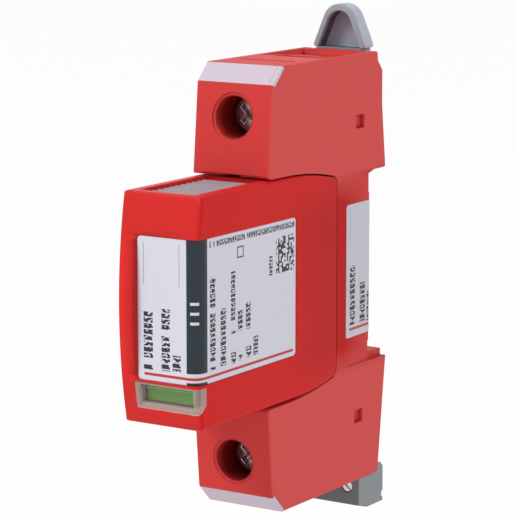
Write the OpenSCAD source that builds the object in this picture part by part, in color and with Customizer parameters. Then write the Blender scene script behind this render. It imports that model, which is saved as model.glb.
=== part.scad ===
// Plug-in surge arrester for a 35 mm mounting rail, one module wide.
// X runs across the width, Y from the front (minus) to the rail (plus), Z up.
// The origin is the middle of the face that seats on the rail.

/* [Base] */
// Width of the base and of the module along the rail
unit_w = 18; // [17.6:0.2:19]
// Height of the base
base_h = 90; // [89:0.5:94]
// Depth from the rail face to the foremost edge of the terminal blocks
base_depth = 39.55; // [39:0.05:41]
// Lean of the front face of a terminal block, in degrees
front_lean = 5.1; // [3:0.1:7]
// Size of the 45 degree chamfer that carries a marking strip
strip_chamfer = 3.6; // [3:0.1:4.2]
// Thickness of a marking strip
strip_t = 0.8; // [0.5:0.1:1.2]
// Radius of the upright front edges of the base
base_edge_r = 0.4; // [0.3:0.05:0.8]
// Radius of the front edge of a block beside the module
lip_r = 1; // [0.6:0.1:1.4]
// Thickness of the side wall of the housing, and of the cover
shell = 1.3; // [1.1:0.1:1.5]
// Depth of the spine between the module and the rail
spine_depth = 13.55; // [13.3:0.05:14.5]
// Wall of the spine, at the module and at the rail
spine_wall = 1.5; // [1.2:0.1:1.7]
// Wall between the module and a terminal chamber
pocket_floor = 2.15; // [1.8:0.05:2.6]
// Wall between a terminal chamber and the end of the base
roof = 2.1; // [1.9:0.1:2.4]
// Depth of the wire entry recess at its rear end
entry_depth = 1.3; // [0.8:0.1:1.4]

/* [Rail] */
// Width of the mounting rail
rail_w = 35; // [34.5:0.1:35.5]
// Thickness of the rail flange
rail_t = 1; // [0.8:0.1:1.2]
// Overlap of a hook behind the rail flange
hook_grip = 1.5; // [1:0.1:2]
// Half height of the raised seat face
seat_half = 15.8; // [14:0.1:15.9]
// Depth of the relief above and below the seat face
seat_relief = 0.3; // [0.2:0.05:0.5]
// Reach of the upper block behind the rail face
upper_heel = 5.7; // [5.2:0.1:6.2]
// Reach of the lower block behind the rail face
lower_heel = 6.4; // [6:0.1:7]

/* [Terminals] */
// Height of a terminal screw above the middle of its chamber
terminal_rise = 0.65; // [0.2:0.05:1]
// Diameter of the screwdriver hole
access_d = 8.4; // [7.8:0.1:8.8]
// Diameter of the shallow ring round the screwdriver hole
access_ring_d = 10; // [9.4:0.1:10.6]
// Depth of that ring
access_ring_depth = 0.3; // [0.2:0.1:0.6]
// Distance from the rail face to the terminal screw head
head_depth = 32.5; // [32:0.1:33]
// Diameter of the terminal screw head
head_d = 7; // [6.4:0.1:7.2]
// Thickness of the terminal screw head
head_t = 2.5; // [2:0.1:2.8]
// Thread diameter of the terminal screw
screw_d = 5; // [4.5:0.1:5.4]
// Travel of the clamp from open to tight
clamp_travel = 7.2; // [6.5:0.1:7.6]
// Width of the clamp
clamp_w = 14.4; // [13.6:0.1:14.8]
// Height of the clamp
clamp_h = 10.4; // [9.6:0.1:11]
// Thickness of the threaded front wall of the clamp
clamp_front_t = 2; // [1.6:0.1:2.2]
// Thickness of the rear wall of the clamp
clamp_rear_t = 1.5; // [1.2:0.1:1.7]
// Thickness of the side walls of the clamp
clamp_side_t = 1.6; // [1.2:0.1:1.9]
// Thickness of the contact bar
bar_t = 1.5; // [1.2:0.1:1.7]
// Width of the contact bar behind the clamp
tail_w = 6; // [5:0.1:7]
// Width of the wire entry hole
entry_w = 9.6; // [8.5:0.1:10.4]

/* [Module] */
// Height of the module
module_h = 45.4; // [44.8:0.1:46]
// Distance from the rail face to the front corners of the module
module_front = 62.9; // [62:0.1:65]
// Bulge of the bowed front at its middle
front_bow = 2.2; // [1.6:0.1:2.6]
// Radius of the taper of the module towards its rear
taper_r = 90; // [80:1:120]
// Distance from the rail face to the start of the taper
taper_start = 34; // [33:0.1:35]
// Radius of the rear corners of the module
rear_r = 2; // [1.5:0.1:2.5]
// Radius of the right front edge of the module
module_edge_r = 1; // [0.6:0.1:1.4]
// Radius of the left front edge of the module
module_left_r = 0.4; // [0.3:0.05:0.8]
// Wall of the module hood
hood_wall = 1.2; // [1:0.1:1.4]
// Thickness of the plate that closes the module at the rear
back_plate_t = 1.6; // [1.3:0.1:1.8]
// Thickness of a plug blade
blade_t = 1.2; // [1:0.1:1.4]
// Height of a plug blade
blade_h = 7; // [6:0.1:7.4]
// Distance of a blade from the middle of the module
blade_z = 13; // [12.6:0.1:13.2]
// Length of a blade behind the module
blade_reach = 7.3; // [6.8:0.1:7.6]
// Thickness of the varistor block
varistor_t = 5.6; // [4.8:0.1:5.8]

/* [Label and window] */
// Height of the label above the middle of the module
label_top = 14.5; // [13:0.1:15.5]
// Depth of the label below the middle of the module
label_bottom = 13.7; // [12.5:0.1:14]
// Distance from the left side of the module to the label
label_margin = 3.85; // [3:0.05:5]
// Distance from the rail face to the flat front of the label
label_front = 64.1; // [63.9:0.05:64.2]
// Distance from the rail face to the rear edge of the label
label_rear = 29.3; // [28:0.1:32]
// Depth of the label recess in the right side
label_recess = 0.4; // [0.3:0.05:0.6]
// Thickness of the label
label_t = 0.25; // [0.15:0.05:0.3]
// Radius of the label where it wraps round the front edge
label_edge_r = 2.2; // [1.6:0.1:2.6]
// Corner radius of the label
label_corner_r = 0.8; // [0.5:0.1:1.5]
// Height of the status window
window_h = 5.4; // [4.8:0.1:5.6]
// Gap between the label and the status window
window_gap = 0.55; // [0.4:0.05:0.8]
// Distance from the left side of the module to the window
window_margin = 3.2; // [2.6:0.1:3.6]
// Thickness of the status window
window_t = 1.4; // [1.2:0.1:1.6]
// Distance that the window reaches back along the right side
window_wrap = 1.4; // [1:0.1:2]
// Height of the corner cut off the window at its lower right end
window_cut = 2; // [1.5:0.1:2.6]
// Width of the raised frame of the window
window_frame = 0.8; // [0.6:0.1:1]
// Depth of the pane of the window below its frame
window_step = 0.35; // [0.2:0.05:0.5]

/* [Release levers] */
// Width of a ribbed release pad
pad_w = 12.6; // [11.6:0.1:13]
// Length of a release pad
pad_len = 20.2; // [19.6:0.1:20.4]
// Distance from the front corners of the module to a pad
pad_setback = 4.3; // [4.1:0.1:4.6]
// Distance from the front corners of the module to the recess that a pad lies in
pad_rim = 1.7; // [1.2:0.1:2.4]
// Depth of the rib tops below the top of the module
pad_sink = 0.65; // [0.4:0.05:0.9]
// Height of a rib
rib_h = 0.5; // [0.3:0.05:0.6]
// Distance from one rib to the next
rib_pitch = 1.9; // [1.6:0.1:2.4]
// Diameter of the lever pivot
pivot_d = 2; // [1.8:0.1:2.2]
// Width of the latch nose of a lever
nose_w = 3; // [2.4:0.1:5]
// Height of the latch nose above the module
nose_h = 0.5; // [0.4:0.05:0.6]

/* [Indicator] */
// Fall of the indicator when the arrester has tripped
trip_travel = 3; // [2.6:0.1:3.1]
// Stroke of the remote signal plunger at that fall
plunger_stroke = 1.2; // [1:0.05:1.3]
// Diameter of the signal plunger
plunger_d = 2.2; // [2:0.1:2.4]
// Distance of the plunger from the middle plane of the module
plunger_x = 5.2; // [5:0.1:5.4]
// Thickness of the indicator slide
slide_t = 2.2; // [2:0.1:2.4]

/* [Rail latch] */
// Travel of the rail latch when it is pulled up
latch_travel = 3.5; // [2.5:0.1:3.8]
// Width of the latch plate
latch_w = 12.6; // [12:0.1:13]
// Thickness of the latch plate
latch_t = 2; // [1.8:0.1:2.2]
// Depth of the pull tab
tab_t = 4; // [3.6:0.1:4.4]
// Height of the pull tab above the base
tab_h = 9.5; // [9:0.1:11]
// Radius of the top of the tab
tab_r = 4; // [3.6:0.1:4.4]
// Rim beside the hollow in the tab
tab_rim = 1.1; // [0.9:0.1:1.4]
// Rim above the hollow in the tab
tab_top_rim = 1.5; // [1.2:0.1:2]
// Radius of the lower corners of the tab
tab_corner_r = 0.5; // [0.3:0.1:0.8]
// Skin behind the hollow in the tab
tab_skin = 0.5; // [0.4:0.1:0.8]
// Diameter of the latch spring
latch_spring_d = 3; // [2.6:0.1:3.2]

/* [Signal plug] */
// Distance from one pole of the signal plug to the next
pole_pitch = 5.5; // [5.4:0.05:5.6]
// Gap between a side of the base and the signal plug
plug_inset = 0.5; // [0.3:0.1:0.6]
// Height of the signal plug below the base
plug_h = 7; // [6.6:0.1:7.6]
// Depth of the signal plug in front of the rail face
plug_front = 3.5; // [3.45:0.05:4]
// Depth of the signal plug behind the rail face
plug_rear = 6.6; // [6.4:0.1:7.2]
// Length of the nose that plugs into the base
nose_len = 8.8; // [8:0.1:9]
// Thread diameter of a signal screw
signal_screw_d = 1.8; // [1.6:0.1:2]
// Head diameter of a signal screw
signal_head_d = 2.4; // [2.2:0.1:2.6]
// Travel of a signal clamp from open to tight
signal_travel = 2.1; // [1.8:0.1:2.2]

/* [Fits] */
// Gap all round between the module and the base
slide_gap = 0.35; // [0.25:0.05:0.45]
// Gap beside a sliding part
side_gap = 0.2; // [0.15:0.05:0.25]
// Gap round a turning part, on the radius
turn_gap = 0.05; // [0.03:0.01:0.1]
// Gap left where a moving part stops
stop_gap = 0.3; // [0.2:0.05:0.35]

/* [Hidden] */

// Colours as the photo shows them
case_red = [0.86, 0.20, 0.19];
strip_white = [0.88, 0.84, 0.88];
lever_grey = [0.66, 0.64, 0.66];
latch_grey = [0.62, 0.63, 0.66];
plug_grey = [0.52, 0.54, 0.55];
copper = [0.80, 0.55, 0.38];
brass = [0.80, 0.68, 0.38];
steel = [0.72, 0.73, 0.75];

// Facets of small and large arcs in the preview, and room for a cut to run past a face
$fn = 64;
large_fn = 480;
past = 2;
far = 100;

// Base: main planes
half_w = unit_w / 2;
inner_x = half_w - shell;
base_top = base_h / 2;
base_roof = base_top - roof;
pocket_half = module_h / 2 + slide_gap;
chamber_floor = pocket_half + pocket_floor;
spine_front = -spine_depth + spine_wall;
spine_rear = -spine_wall;
terminal_z = (base_roof + chamber_floor) / 2 + terminal_rise;
strip_front_z = base_top - strip_chamfer;
strip_front_y = -base_depth + (strip_front_z - pocket_half) * tan(front_lean);
front_at_screw = -base_depth + (terminal_z - pocket_half) * tan(front_lean);

// Rear outline: where the blocks start above and below the rail, and how they round off
rail_edge = rail_w / 2;
upper_gap_z = rail_edge + 1.7;
upper_heel_z = rail_edge + 3.2;
lower_gap_z = rail_edge + 1.1;
lower_heel_z = rail_edge + 2.5;
upper_shoulder_y = upper_heel - 1.5;
top_rear_y = upper_heel - 3.6;
lower_shoulder_y = lower_heel - 2.95;
bottom_rear_y = lower_heel - 3.2;
shoulder_drop = 4;
lower_drop = 0.5;
heel_run = 7;
hook_y = rail_t + 0.4;
hook_half = 4;

// Terminals, from the screw head back to the clamp
head_wall = 1.1;
head_y = -head_depth;
head_seat_y = head_y + head_t;
chamber_front = head_seat_y + head_wall;
clamp_front = chamber_front + stop_gap + clamp_travel;
bar_gap = 0.4;
bar_front = clamp_front + clamp_front_t + bar_gap;
bar_rear = bar_front + bar_t;
clamp_rear = bar_rear + stop_gap + clamp_travel + clamp_rear_t;
clamp_clear = 2;
chamber_rear = clamp_rear + clamp_clear;
bar_half = clamp_w / 2 - clamp_side_t - bar_gap;
tail_rear = -4;
tail_rise = 4.3;
tail_room = chamber_floor + tail_rise;
entry_front = bar_rear + side_gap;
entry_rear = clamp_rear - clamp_rear_t - side_gap;
entry_half = inner_x - side_gap;
ramp_rear = -0.8;

// Label on the side of the spine, on a flat that leans in towards the rail
label_lean_y = -10;
label_lean_in = 0.35;
base_label_t = 0.15;
base_label_low = -13.75;
base_label_high = 14.2;

// Edge of the chamfer that stays clear of the marking strip, and gap round the edge of the label
strip_margin = 0.1;
label_gap = 0.1;

// Snap noses of the housing that lock the cover, sunk in their windows
snap_w = 2.8;
snap_h = 2.3;
snap_gap = 0.25;
snap_sink = 0.9;
snap_edge = 0.45;
snap_y = chamber_rear + snap_w / 2 + snap_edge;
snap_z = tail_room + snap_h / 2 + snap_edge;

// Module: main planes
module_half = module_h / 2;
module_rear = -spine_depth - slide_gap;
bow_r = (pow(module_half, 2) + pow(front_bow, 2)) / (2 * front_bow);
bow_y = -module_front - front_bow + bow_r;
hood_x = half_w - hood_wall;
hood_z = module_half - hood_wall;
hood_front = -label_front + label_t + hood_wall;
plate_front = module_rear - back_plate_t;
rear_taper = taper_r - sqrt(pow(taper_r, 2) - pow(module_rear - rear_r + taper_start, 2));
plate_half = module_half - rear_taper - rear_r - hood_wall / 2;

// Release levers
pivot_y = -module_front + pad_setback + pivot_d / 2 + 0.1;
pivot_z = hood_z - pivot_d;
pad_front = -module_front + pad_setback;
pad_rear = pad_front + pad_len;
pad_top = module_half - pad_sink;
pad_bottom = hood_z - 1.2;
arm_top = hood_z - stop_gap;
arm_bottom = arm_top - 1.6;
nose_front = pad_rear + 4.9;
nose_rear = nose_front + 2.4;
nose_top = module_half + nose_h;
lever_spring_d = 3;
arm_root = pad_rear - 2;
lever_spring_y = arm_root - lever_spring_d / 2 - 0.6;
lever_ledge_z = pad_bottom - 2.4;

// Indicator
window_run = 2.2;
window_corner_r = 0.6;
window_top = -label_bottom - window_gap;
window_bottom = window_top - window_h;
field_top = window_top - 0.9;
field_h = trip_travel - 0.05;
field_t = 0.2;
flag_front = -module_front + 1.5;
flag_rear = flag_front + 1;
flag_left = window_margin - half_w + 1;
slide_x0 = plunger_x - slide_t / 2;
slide_x1 = plunger_x + slide_t / 2;
slide_top = 7;
slide_bottom = -4;
guide_d = 2;
guide_front_gap = 9;
guide_rear_gap = 11;
guide_ys = [flag_front + guide_front_gap, plate_front - guide_rear_gap];
ramp_slope = plunger_stroke / trip_travel;
ramp_high = trip_travel + plunger_d / 2 + 0.4;
ramp_angle = atan(ramp_slope);
tip_r = plunger_d / 2;
tip_y = plate_front - 0.4 - ramp_slope * ramp_high - (tip_r + 0.1) / cos(ramp_angle) + tip_r;
ramp_y0 = tip_y + tip_r - (tip_r + 0.1) / cos(ramp_angle);
varistor_x0 = -hood_x;
varistor_x1 = -hood_x + varistor_t;
varistor_front_gap = 7;
varistor_rear_gap = 4.5;
varistor_front = flag_rear + varistor_front_gap;
varistor_rear = plate_front - varistor_rear_gap;
varistor_half = 15;
blade_root = 14.5;
blade_front = plate_front - blade_root;
blade_end = module_rear + blade_reach;
solder_lug = 3;
arm_reach = 4;
arm_gap = 0.1;
arm_y0 = blade_front - arm_reach;
arm_y1 = blade_front + arm_reach;
arm_x0 = blade_t / 2 + arm_gap;
arm_t = 0.8;
arm_drop = 1;
arm_low = -blade_z - arm_drop;
arm_high = -2;
indicator_spring_y = (guide_ys[0] + guide_ys[1]) / 2;
indicator_spring_len = 7;
indicator_ledge_z = slide_top + indicator_spring_len;

// Signal switch, its pins and the socket for the plug
switch_half_z = 6.5;
switch_x0 = -pole_pitch - 1;
switch_x1 = pole_pitch + 1.8;
plunger_end = spine_front + plunger_stroke + 1.2;
pin_y = -2;
pin_w = 1.2;
pin_t = 0.8;
poles = [-pole_pitch, 0, pole_pitch];
plug_nose_half = pole_pitch + 1.5;
plug_nose_y0 = pin_y - 1.4;
plug_nose_y1 = pin_y + 1.4;
socket_top = -base_top + nose_len + side_gap;
pin_end = -base_top + 1.8;

// Signal plug
plug_half = half_w - plug_inset;
plug_bottom = -base_top - plug_h;
plug_shoulder = 1.6;
signal_z = -base_top - 2.2;
signal_head_y = -plug_front + 0.4;
signal_head_t = 0.8;
signal_seat_y = signal_head_y + signal_head_t;
signal_room_front = signal_seat_y + 0.5;
signal_wall = 0.7;
signal_clamp_front = signal_room_front + side_gap + signal_travel;
signal_bar_front = signal_clamp_front + signal_wall + side_gap;
signal_bar_t = 0.5;
signal_bar_rear = signal_bar_front + signal_bar_t;
signal_clamp_rear = signal_bar_rear + side_gap + signal_travel + signal_wall;
signal_clamp_half = 1.9;
signal_clamp_half_h = 1.6;
signal_side = 0.55;
sleeve_half_x = 1;
sleeve_half_y = 0.9;
sleeve_end = nose_len - base_top - signal_wall;
signal_room_gap = 0.15;
signal_room_half = signal_clamp_half_h + signal_room_gap;
bend_t = 0.4;

// Rail latch
latch_front = rail_t + 0.4;
latch_rear = latch_front + latch_t;
channel_front = latch_front - 0.1;
channel_half = latch_w / 2 + side_gap;
flange_out = 0.6;
flange_t = 1;
nose_z = rail_edge - hook_grip;
hook_depth = 2.6;
hook_root = 2;
lug_half = 1.8;
lug_rise = 5.5;
lug_t = 2;
lug_low = rail_edge + lug_rise;
lug_high = lug_low + lug_t;
spring_gap = 0.7;
pocket_gap = 0.4;
spring_drop = 7;
spring_y = latch_front - latch_spring_d / 2 - spring_gap;
pocket_front = spring_y - latch_spring_d / 2 - pocket_gap;
spring_pocket_half = lug_half + stop_gap;
spring_pocket_top = base_top - spring_drop;
tab_gap = 0.4;
neck_rise = 1.5;
tab_root = 1.6;
tab_root_half = latch_w / 2 - tab_corner_r - tab_gap;
tab_base = base_top + tab_gap;
tab_centre = base_top + tab_h - tab_r;
tab_neck = tab_centre + neck_rise;
tab_neck_half = sqrt(pow(tab_r, 2) - pow(tab_neck - tab_centre, 2));

// Solids that run along one axis
module along_x(x0, x1) {
    translate([x0, 0, 0]) rotate([90, 0, 90]) linear_extrude(x1 - x0) children();
}

module along_y(y0, y1) {
    translate([0, y1, 0]) rotate([90, 0, 0]) linear_extrude(y1 - y0) children();
}

module along_z(z0, z1) {
    translate([0, 0, z0]) linear_extrude(z1 - z0) children();
}

module block(x, y, z) {
    translate([x[0], y[0], z[0]]) cube([x[1] - x[0], y[1] - y[0], z[1] - z[0]]);
}

module rod_y(x, z, d, y0, y1) {
    translate([x, y0, z]) rotate([-90, 0, 0]) cylinder(d = d, h = y1 - y0);
}

module rod_x(y, z, d, x0, x1) {
    translate([x0, y, z]) rotate([0, 90, 0]) cylinder(d = d, h = x1 - x0);
}

module below() {
    mirror([0, 0, 1]) children();
}

module both_ends() {
    children();
    below() children();
}

// Round wire wound into an open coil that stands on the XY plane
function coil_ring(d, wire, angle, height, sides) = [
    for (k = [0 : sides - 1])
        let (b = 360 * k / sides, reach = (d - wire) / 2 + wire / 2 * cos(b))
        [reach * cos(angle), reach * sin(angle), height + wire / 2 * sin(b)]
];

module coil(d, wire, length, turns, sides = 6, steps = 12) {
    rings = turns * steps;
    rise = length - wire;
    points = [
        for (i = [0 : rings])
            each coil_ring(d, wire, 360 * i / steps, wire / 2 + rise * i / rings, sides)
    ];
    walls = [
        for (i = [0 : rings - 1], k = [0 : sides - 1])
            let (a = i * sides + k, b = i * sides + (k + 1) % sides)
            each [[a, b, b + sides], [a, b + sides, a + sides]]
    ];
    start_cap = [[for (k = [sides - 1 : -1 : 0]) k]];
    end_cap = [[for (k = [0 : sides - 1]) rings * sides + k]];
    polyhedron(points, concat(walls, start_cap, end_cap));
}

// Side view of the module: flat at the front, tapered by a large arc towards the rear
module module_side(grow = 0) {
    half = module_half + grow;
    rear = module_rear + grow;
    arc = taper_r + grow;
    corner = rear_r + grow;
    rear_half = half - arc + sqrt(pow(arc, 2) - pow(rear - corner + taper_start, 2));
    translate([-far, -half]) square([far - taper_start, 2 * half]);
    intersection() {
        translate([-taper_start, half - arc]) circle(arc, $fn = large_fn);
        translate([-taper_start, arc - half]) circle(arc, $fn = large_fn);
        union() {
            translate([-taper_start, -half]) square([taper_start + rear - corner, 2 * half]);
            translate([-taper_start, corner - rear_half])
                square([taper_start + rear, 2 * (rear_half - corner)]);
            for (side = [-1, 1])
                translate([rear - corner, side * (rear_half - corner)]) circle(corner);
        }
    }
}

// Block with the bowed front of the module, its two upright front edges rounded
module bowed_block(inset, edge_r, left_r) {
    r = bow_r - inset;
    w = half_w - inset;
    core = bow_r - module_front - past;
    translate([0, bow_y, 0]) rotate([0, 90, 0]) rotate_extrude($fn = large_fn) {
        translate([core, -w]) square([r - left_r - core, w]);
        translate([core, 0]) square([r - edge_r - core, w]);
        translate([core, left_r - w]) square([r - core, 2 * w - left_r - edge_r]);
        translate([r - left_r, left_r - w]) circle(left_r);
        translate([r - edge_r, w - edge_r]) circle(edge_r);
    }
}

module module_body(inset = 0, edge_r = module_edge_r, left_r = module_left_r) {
    intersection() {
        along_x(-half_w - past, half_w + past) module_side(-inset);
        bowed_block(inset, edge_r, left_r);
    }
}

// Side view of the base with the module pocket cut out of its front
module base_side() {
    difference() {
        polygon([
            [-base_depth, pocket_half], [strip_front_y, strip_front_z],
            [strip_front_y + strip_chamfer, base_top], [top_rear_y, base_top],
            [top_rear_y + 0.3, base_top - shoulder_drop / 2],
            [upper_shoulder_y, base_top - shoulder_drop],
            [upper_shoulder_y, base_top - shoulder_drop - heel_run], [upper_heel, upper_heel_z],
            [-seat_relief, upper_gap_z], [-seat_relief, seat_half], [0, seat_half],
            [0, -seat_half], [-seat_relief, -seat_half], [-seat_relief, -lower_gap_z],
            [lower_heel, -lower_gap_z], [lower_heel, -lower_heel_z],
            [lower_shoulder_y, lower_drop - base_top], [bottom_rear_y, -base_top],
            [strip_front_y + strip_chamfer, -base_top], [strip_front_y, -strip_front_z],
            [-base_depth, -pocket_half]
        ]);
        module_side(slide_gap);
        for (side = [0, 1]) mirror([0, side]) translate([-base_depth, pocket_half]) difference() {
            translate([-past, -past]) square(past + lip_r);
            translate([lip_r, lip_r]) circle(lip_r);
        }
    }
}

// Cutter that rounds one upright edge; the edge stands at the origin, the solid lies at -X and +Y
module edge_cutter(length) {
    difference() {
        translate([-base_edge_r, -past, 0]) cube([base_edge_r + past, base_edge_r + past, length]);
        translate([-base_edge_r, base_edge_r, -past]) cylinder(r = base_edge_r, h = length + 2 * past);
    }
}

module front_edge_cuts() {
    front_len = (strip_front_z - pocket_half) / cos(front_lean);
    both_ends() for (side = [0, 1]) mirror([side, 0, 0]) {
        translate([half_w, -base_depth, pocket_half]) rotate([-front_lean, 0, 0])
            translate([0, 0, -past]) edge_cutter(front_len + past + 0.4);
        translate([half_w, strip_front_y, strip_front_z]) rotate([-45, 0, 0])
            translate([0, 0, -0.3]) edge_cutter(strip_chamfer * sqrt(2) + past);
    }
}

module base_body() {
    difference() {
        along_x(-half_w, half_w) base_side();
        front_edge_cuts();
    }
}

// Room for the upper marking strip, square to its chamfer
module strip_room() {
    translate([-far, strip_front_y, strip_front_z]) rotate([-45, 0, 0])
        translate([0, -past, strip_margin])
            cube([2 * far, past + strip_t, strip_chamfer * sqrt(2) - 2 * strip_margin]);
}

// Hollow for one terminal: chamber, head seat, screwdriver hole with its ring, and wire entry
module terminal_room() {
    block([-inner_x, half_w], [chamber_front, chamber_rear], [chamber_floor, base_roof]);
    rod_y(0, terminal_z, access_d, -base_depth - past, head_seat_y);
    rod_y(0, terminal_z, screw_d + 4 * turn_gap, head_seat_y - past, chamber_front + past);
    translate([0, front_at_screw, terminal_z]) rotate([-front_lean, 0, 0])
        rod_y(0, 0, access_ring_d, -past, access_ring_depth);
    block([-entry_w / 2, entry_w / 2], [entry_front, entry_rear], [base_roof - past, base_top + past]);
    along_x(-entry_half, entry_half)
        polygon([
            [entry_front - side_gap, base_top], [entry_front - side_gap, base_top + past],
            [ramp_rear, base_top + past], [ramp_rear, base_top - entry_depth]
        ]);
    block([-entry_half + 1, entry_half - 1], [chamber_front + past, chamber_front + past + 1.2],
        [base_top - entry_depth, base_top + past]);
}

// Hollow that carries a contact bar from the terminal down into the spine
module tail_hollow(rear) {
    block([-inner_x, half_w], [spine_front, rear], [0, tail_room]);
}

// Guide groove in the pocket for the nose of a release lever
module nose_groove() {
    block([-nose_w / 2 - 2 * side_gap, nose_w / 2 + 2 * side_gap],
        [-base_depth - past, nose_rear + stop_gap], [pocket_half - past, nose_top + stop_gap]);
}

// Channel with side grooves and spring pocket for the rail latch
module latch_channel() {
    groove_half = channel_half + flange_out;
    block([-channel_half, channel_half], [channel_front, far], [upper_gap_z - past, base_top + past]);
    block([-groove_half, groove_half], [channel_front, latch_front + flange_t + 0.1],
        [upper_gap_z - past, base_top + past]);
    block([-spring_pocket_half, spring_pocket_half], [pocket_front, channel_front + past],
        [lug_low - side_gap, spring_pocket_top]);
}

module plug_socket() {
    block([-plug_nose_half - side_gap, plug_nose_half + side_gap],
        [plug_nose_y0 - side_gap, plug_nose_y1 + side_gap], [-base_top - past, socket_top]);
    for (x = poles)
        block([x - pin_w / 2, x + pin_w / 2], [pin_y - pin_t / 2, pin_y + pin_t / 2],
            [socket_top - past, -tail_room + past]);
}

module lower_hook_nose() {
    along_x(-hook_half, hook_half)
        polygon([
            [hook_y, -lower_gap_z - 1], [hook_y, -nose_z - 0.4], [hook_y + 0.6, -nose_z],
            [hook_y + 1.6, -nose_z - 0.4], [hook_y + 3, -lower_gap_z], [hook_y + 3, -lower_gap_z - 1]
        ]);
}

// Snap nose of the housing; with a gap and a far face it is the window of the cover
module snap_nose(gap = 0, face = half_w - snap_sink) {
    y = snap_w / 2 + gap;
    z = snap_h / 2 + gap;
    block([inner_x - gap, face], [snap_y - y, snap_y + y], [snap_z - z, snap_z + z]);
}

module base_housing() {
    color(case_red) {
        difference() {
            intersection() {
                base_body();
                block([-far, inner_x], [-far, far], [-far, far]);
            }
            both_ends() {
                strip_room();
                terminal_room();
                nose_groove();
                block([-blade_t / 2 - stop_gap, blade_t / 2 + stop_gap],
                    [-spine_depth - past, spine_front + past],
                    [blade_z - blade_h / 2 - stop_gap, blade_z + blade_h / 2 + stop_gap]);
            }
            block([-inner_x, half_w], [spine_front, spine_rear], [-chamber_floor, pocket_half]);
            tail_hollow(tail_rear);
            below() tail_hollow(spine_rear);
            rod_y(plunger_x, 0, plunger_d + 2 * side_gap, -spine_depth - past, spine_front + past);
            latch_channel();
            plug_socket();
        }
        lower_hook_nose();
        both_ends() snap_nose();
    }
}

// Shallow flat on the outside of the cover that leans in towards the rail and takes the label
module label_flat(t) {
    along_z(-rail_edge - 2.4, rail_edge + 3)
        polygon([
            [half_w - t, label_lean_y], [half_w + past, label_lean_y], [half_w + past, past],
            [half_w - t - label_lean_in, past], [half_w - t - label_lean_in, 0]
        ]);
}

module base_cover() {
    color(case_red) difference() {
        intersection() {
            base_body();
            block([inner_x, far], [-far, far], [-far, far]);
        }
        both_ends() {
            strip_room();
            snap_nose(snap_gap, half_w + past);
        }
        block([0, far], [-seat_relief, far], [seat_half, upper_heel_z - 0.2]);
        block([0, far], [-seat_relief, far], [-lower_heel_z, -seat_half]);
        label_flat(base_label_t);
    }
}

module base_label() {
    ends = [label_lean_y + 0.1, -0.1];
    lean = [for (y = ends) label_lean_in * (1 - y / label_lean_y)];
    r = label_corner_r;
    height = base_label_high - base_label_low;
    color(strip_white) intersection() {
        along_z(base_label_low, base_label_high)
            polygon([
                [half_w - base_label_t - lean[0], ends[0]], [half_w - lean[0], ends[0]],
                [half_w - lean[1], ends[1]], [half_w - base_label_t - lean[1], ends[1]]
            ]);
        along_x(0, far) {
            translate([ends[0] + r, base_label_low]) square([far, height]);
            translate([ends[0], base_label_low + r]) square([far, height - 2 * r]);
            for (z = [base_label_low + r, base_label_high - r]) translate([ends[0] + r, z]) circle(r);
        }
    }
}

module upper_marking_strip() {
    color(strip_white) intersection() {
        base_body();
        strip_room();
    }
}

module lower_marking_strip() {
    color(strip_white) intersection() {
        base_body();
        below() strip_room();
    }
}

// Contact bar: strip through the clamp, foot on the chamber floor, tail with two fork leaves
module contact() {
    leaf = 0.8;
    leaf_gap = blade_t / 2 + turn_gap;
    block([-bar_half, bar_half], [bar_front, bar_rear], [chamber_floor, base_roof]);
    block([-tail_w / 2, tail_w / 2], [bar_front, tail_rear], [chamber_floor, chamber_floor + bar_t]);
    block([-tail_w / 2, tail_w / 2], [tail_rear - bar_t, tail_rear],
        [blade_z - blade_h / 2 - 1.5, chamber_floor + bar_t]);
    for (side = [0, 1]) mirror([side, 0, 0])
        block([leaf_gap, leaf_gap + leaf], [spine_front + 0.15, tail_rear],
            [blade_z - blade_h / 2 - 0.5, blade_z + blade_h / 2 + 0.5]);
}

module upper_contact() {
    color(copper) contact();
}

module lower_contact() {
    color(copper) below() contact();
}

// Terminal screw with a cross recess in its head
module terminal_screw() {
    recess_w = head_d * 0.68;
    recess_t = head_d * 0.16;
    recess_depth = head_t * 0.7;
    difference() {
        union() {
            rod_y(0, terminal_z, head_d, head_y, head_seat_y);
            rod_y(0, terminal_z, screw_d, head_seat_y, bar_front);
        }
        for (angle = [45, 135])
            translate([0, head_y, terminal_z]) rotate([0, angle, 0])
                cube([recess_w, 2 * recess_depth, recess_t], center = true);
    }
}

module upper_screw() {
    color(steel) terminal_screw();
}

module lower_screw() {
    color(steel) below() terminal_screw();
}

// Lift clamp: a box with open ends round the contact bar, its front wall threaded
module terminal_clamp() {
    difference() {
        block([-clamp_w / 2, clamp_w / 2], [clamp_front, clamp_rear],
            [terminal_z - clamp_h / 2, terminal_z + clamp_h / 2]);
        block([clamp_side_t - clamp_w / 2, clamp_w / 2 - clamp_side_t],
            [clamp_front + clamp_front_t, clamp_rear - clamp_rear_t],
            [terminal_z - clamp_h, terminal_z + clamp_h]);
        rod_y(0, terminal_z, screw_d + 2 * turn_gap, clamp_front - past, bar_front);
    }
}

module upper_clamp() {
    color(steel) terminal_clamp();
}

module lower_clamp() {
    color(steel) below() terminal_clamp();
}

module signal_switch() {
    color([0.16, 0.16, 0.17]) difference() {
        block([switch_x0, switch_x1], [spine_front, pin_y + pin_t / 2], [-switch_half_z, switch_half_z]);
        rod_y(plunger_x, 0, plunger_d + 2 * turn_gap, spine_front - past,
            plunger_end + plunger_stroke + side_gap);
    }
}

module switch_plunger() {
    color([0.85, 0.82, 0.74]) {
        rod_y(plunger_x, 0, plunger_d, tip_y + tip_r, plunger_end);
        translate([plunger_x, tip_y + tip_r, 0]) sphere(tip_r);
    }
}

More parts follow.
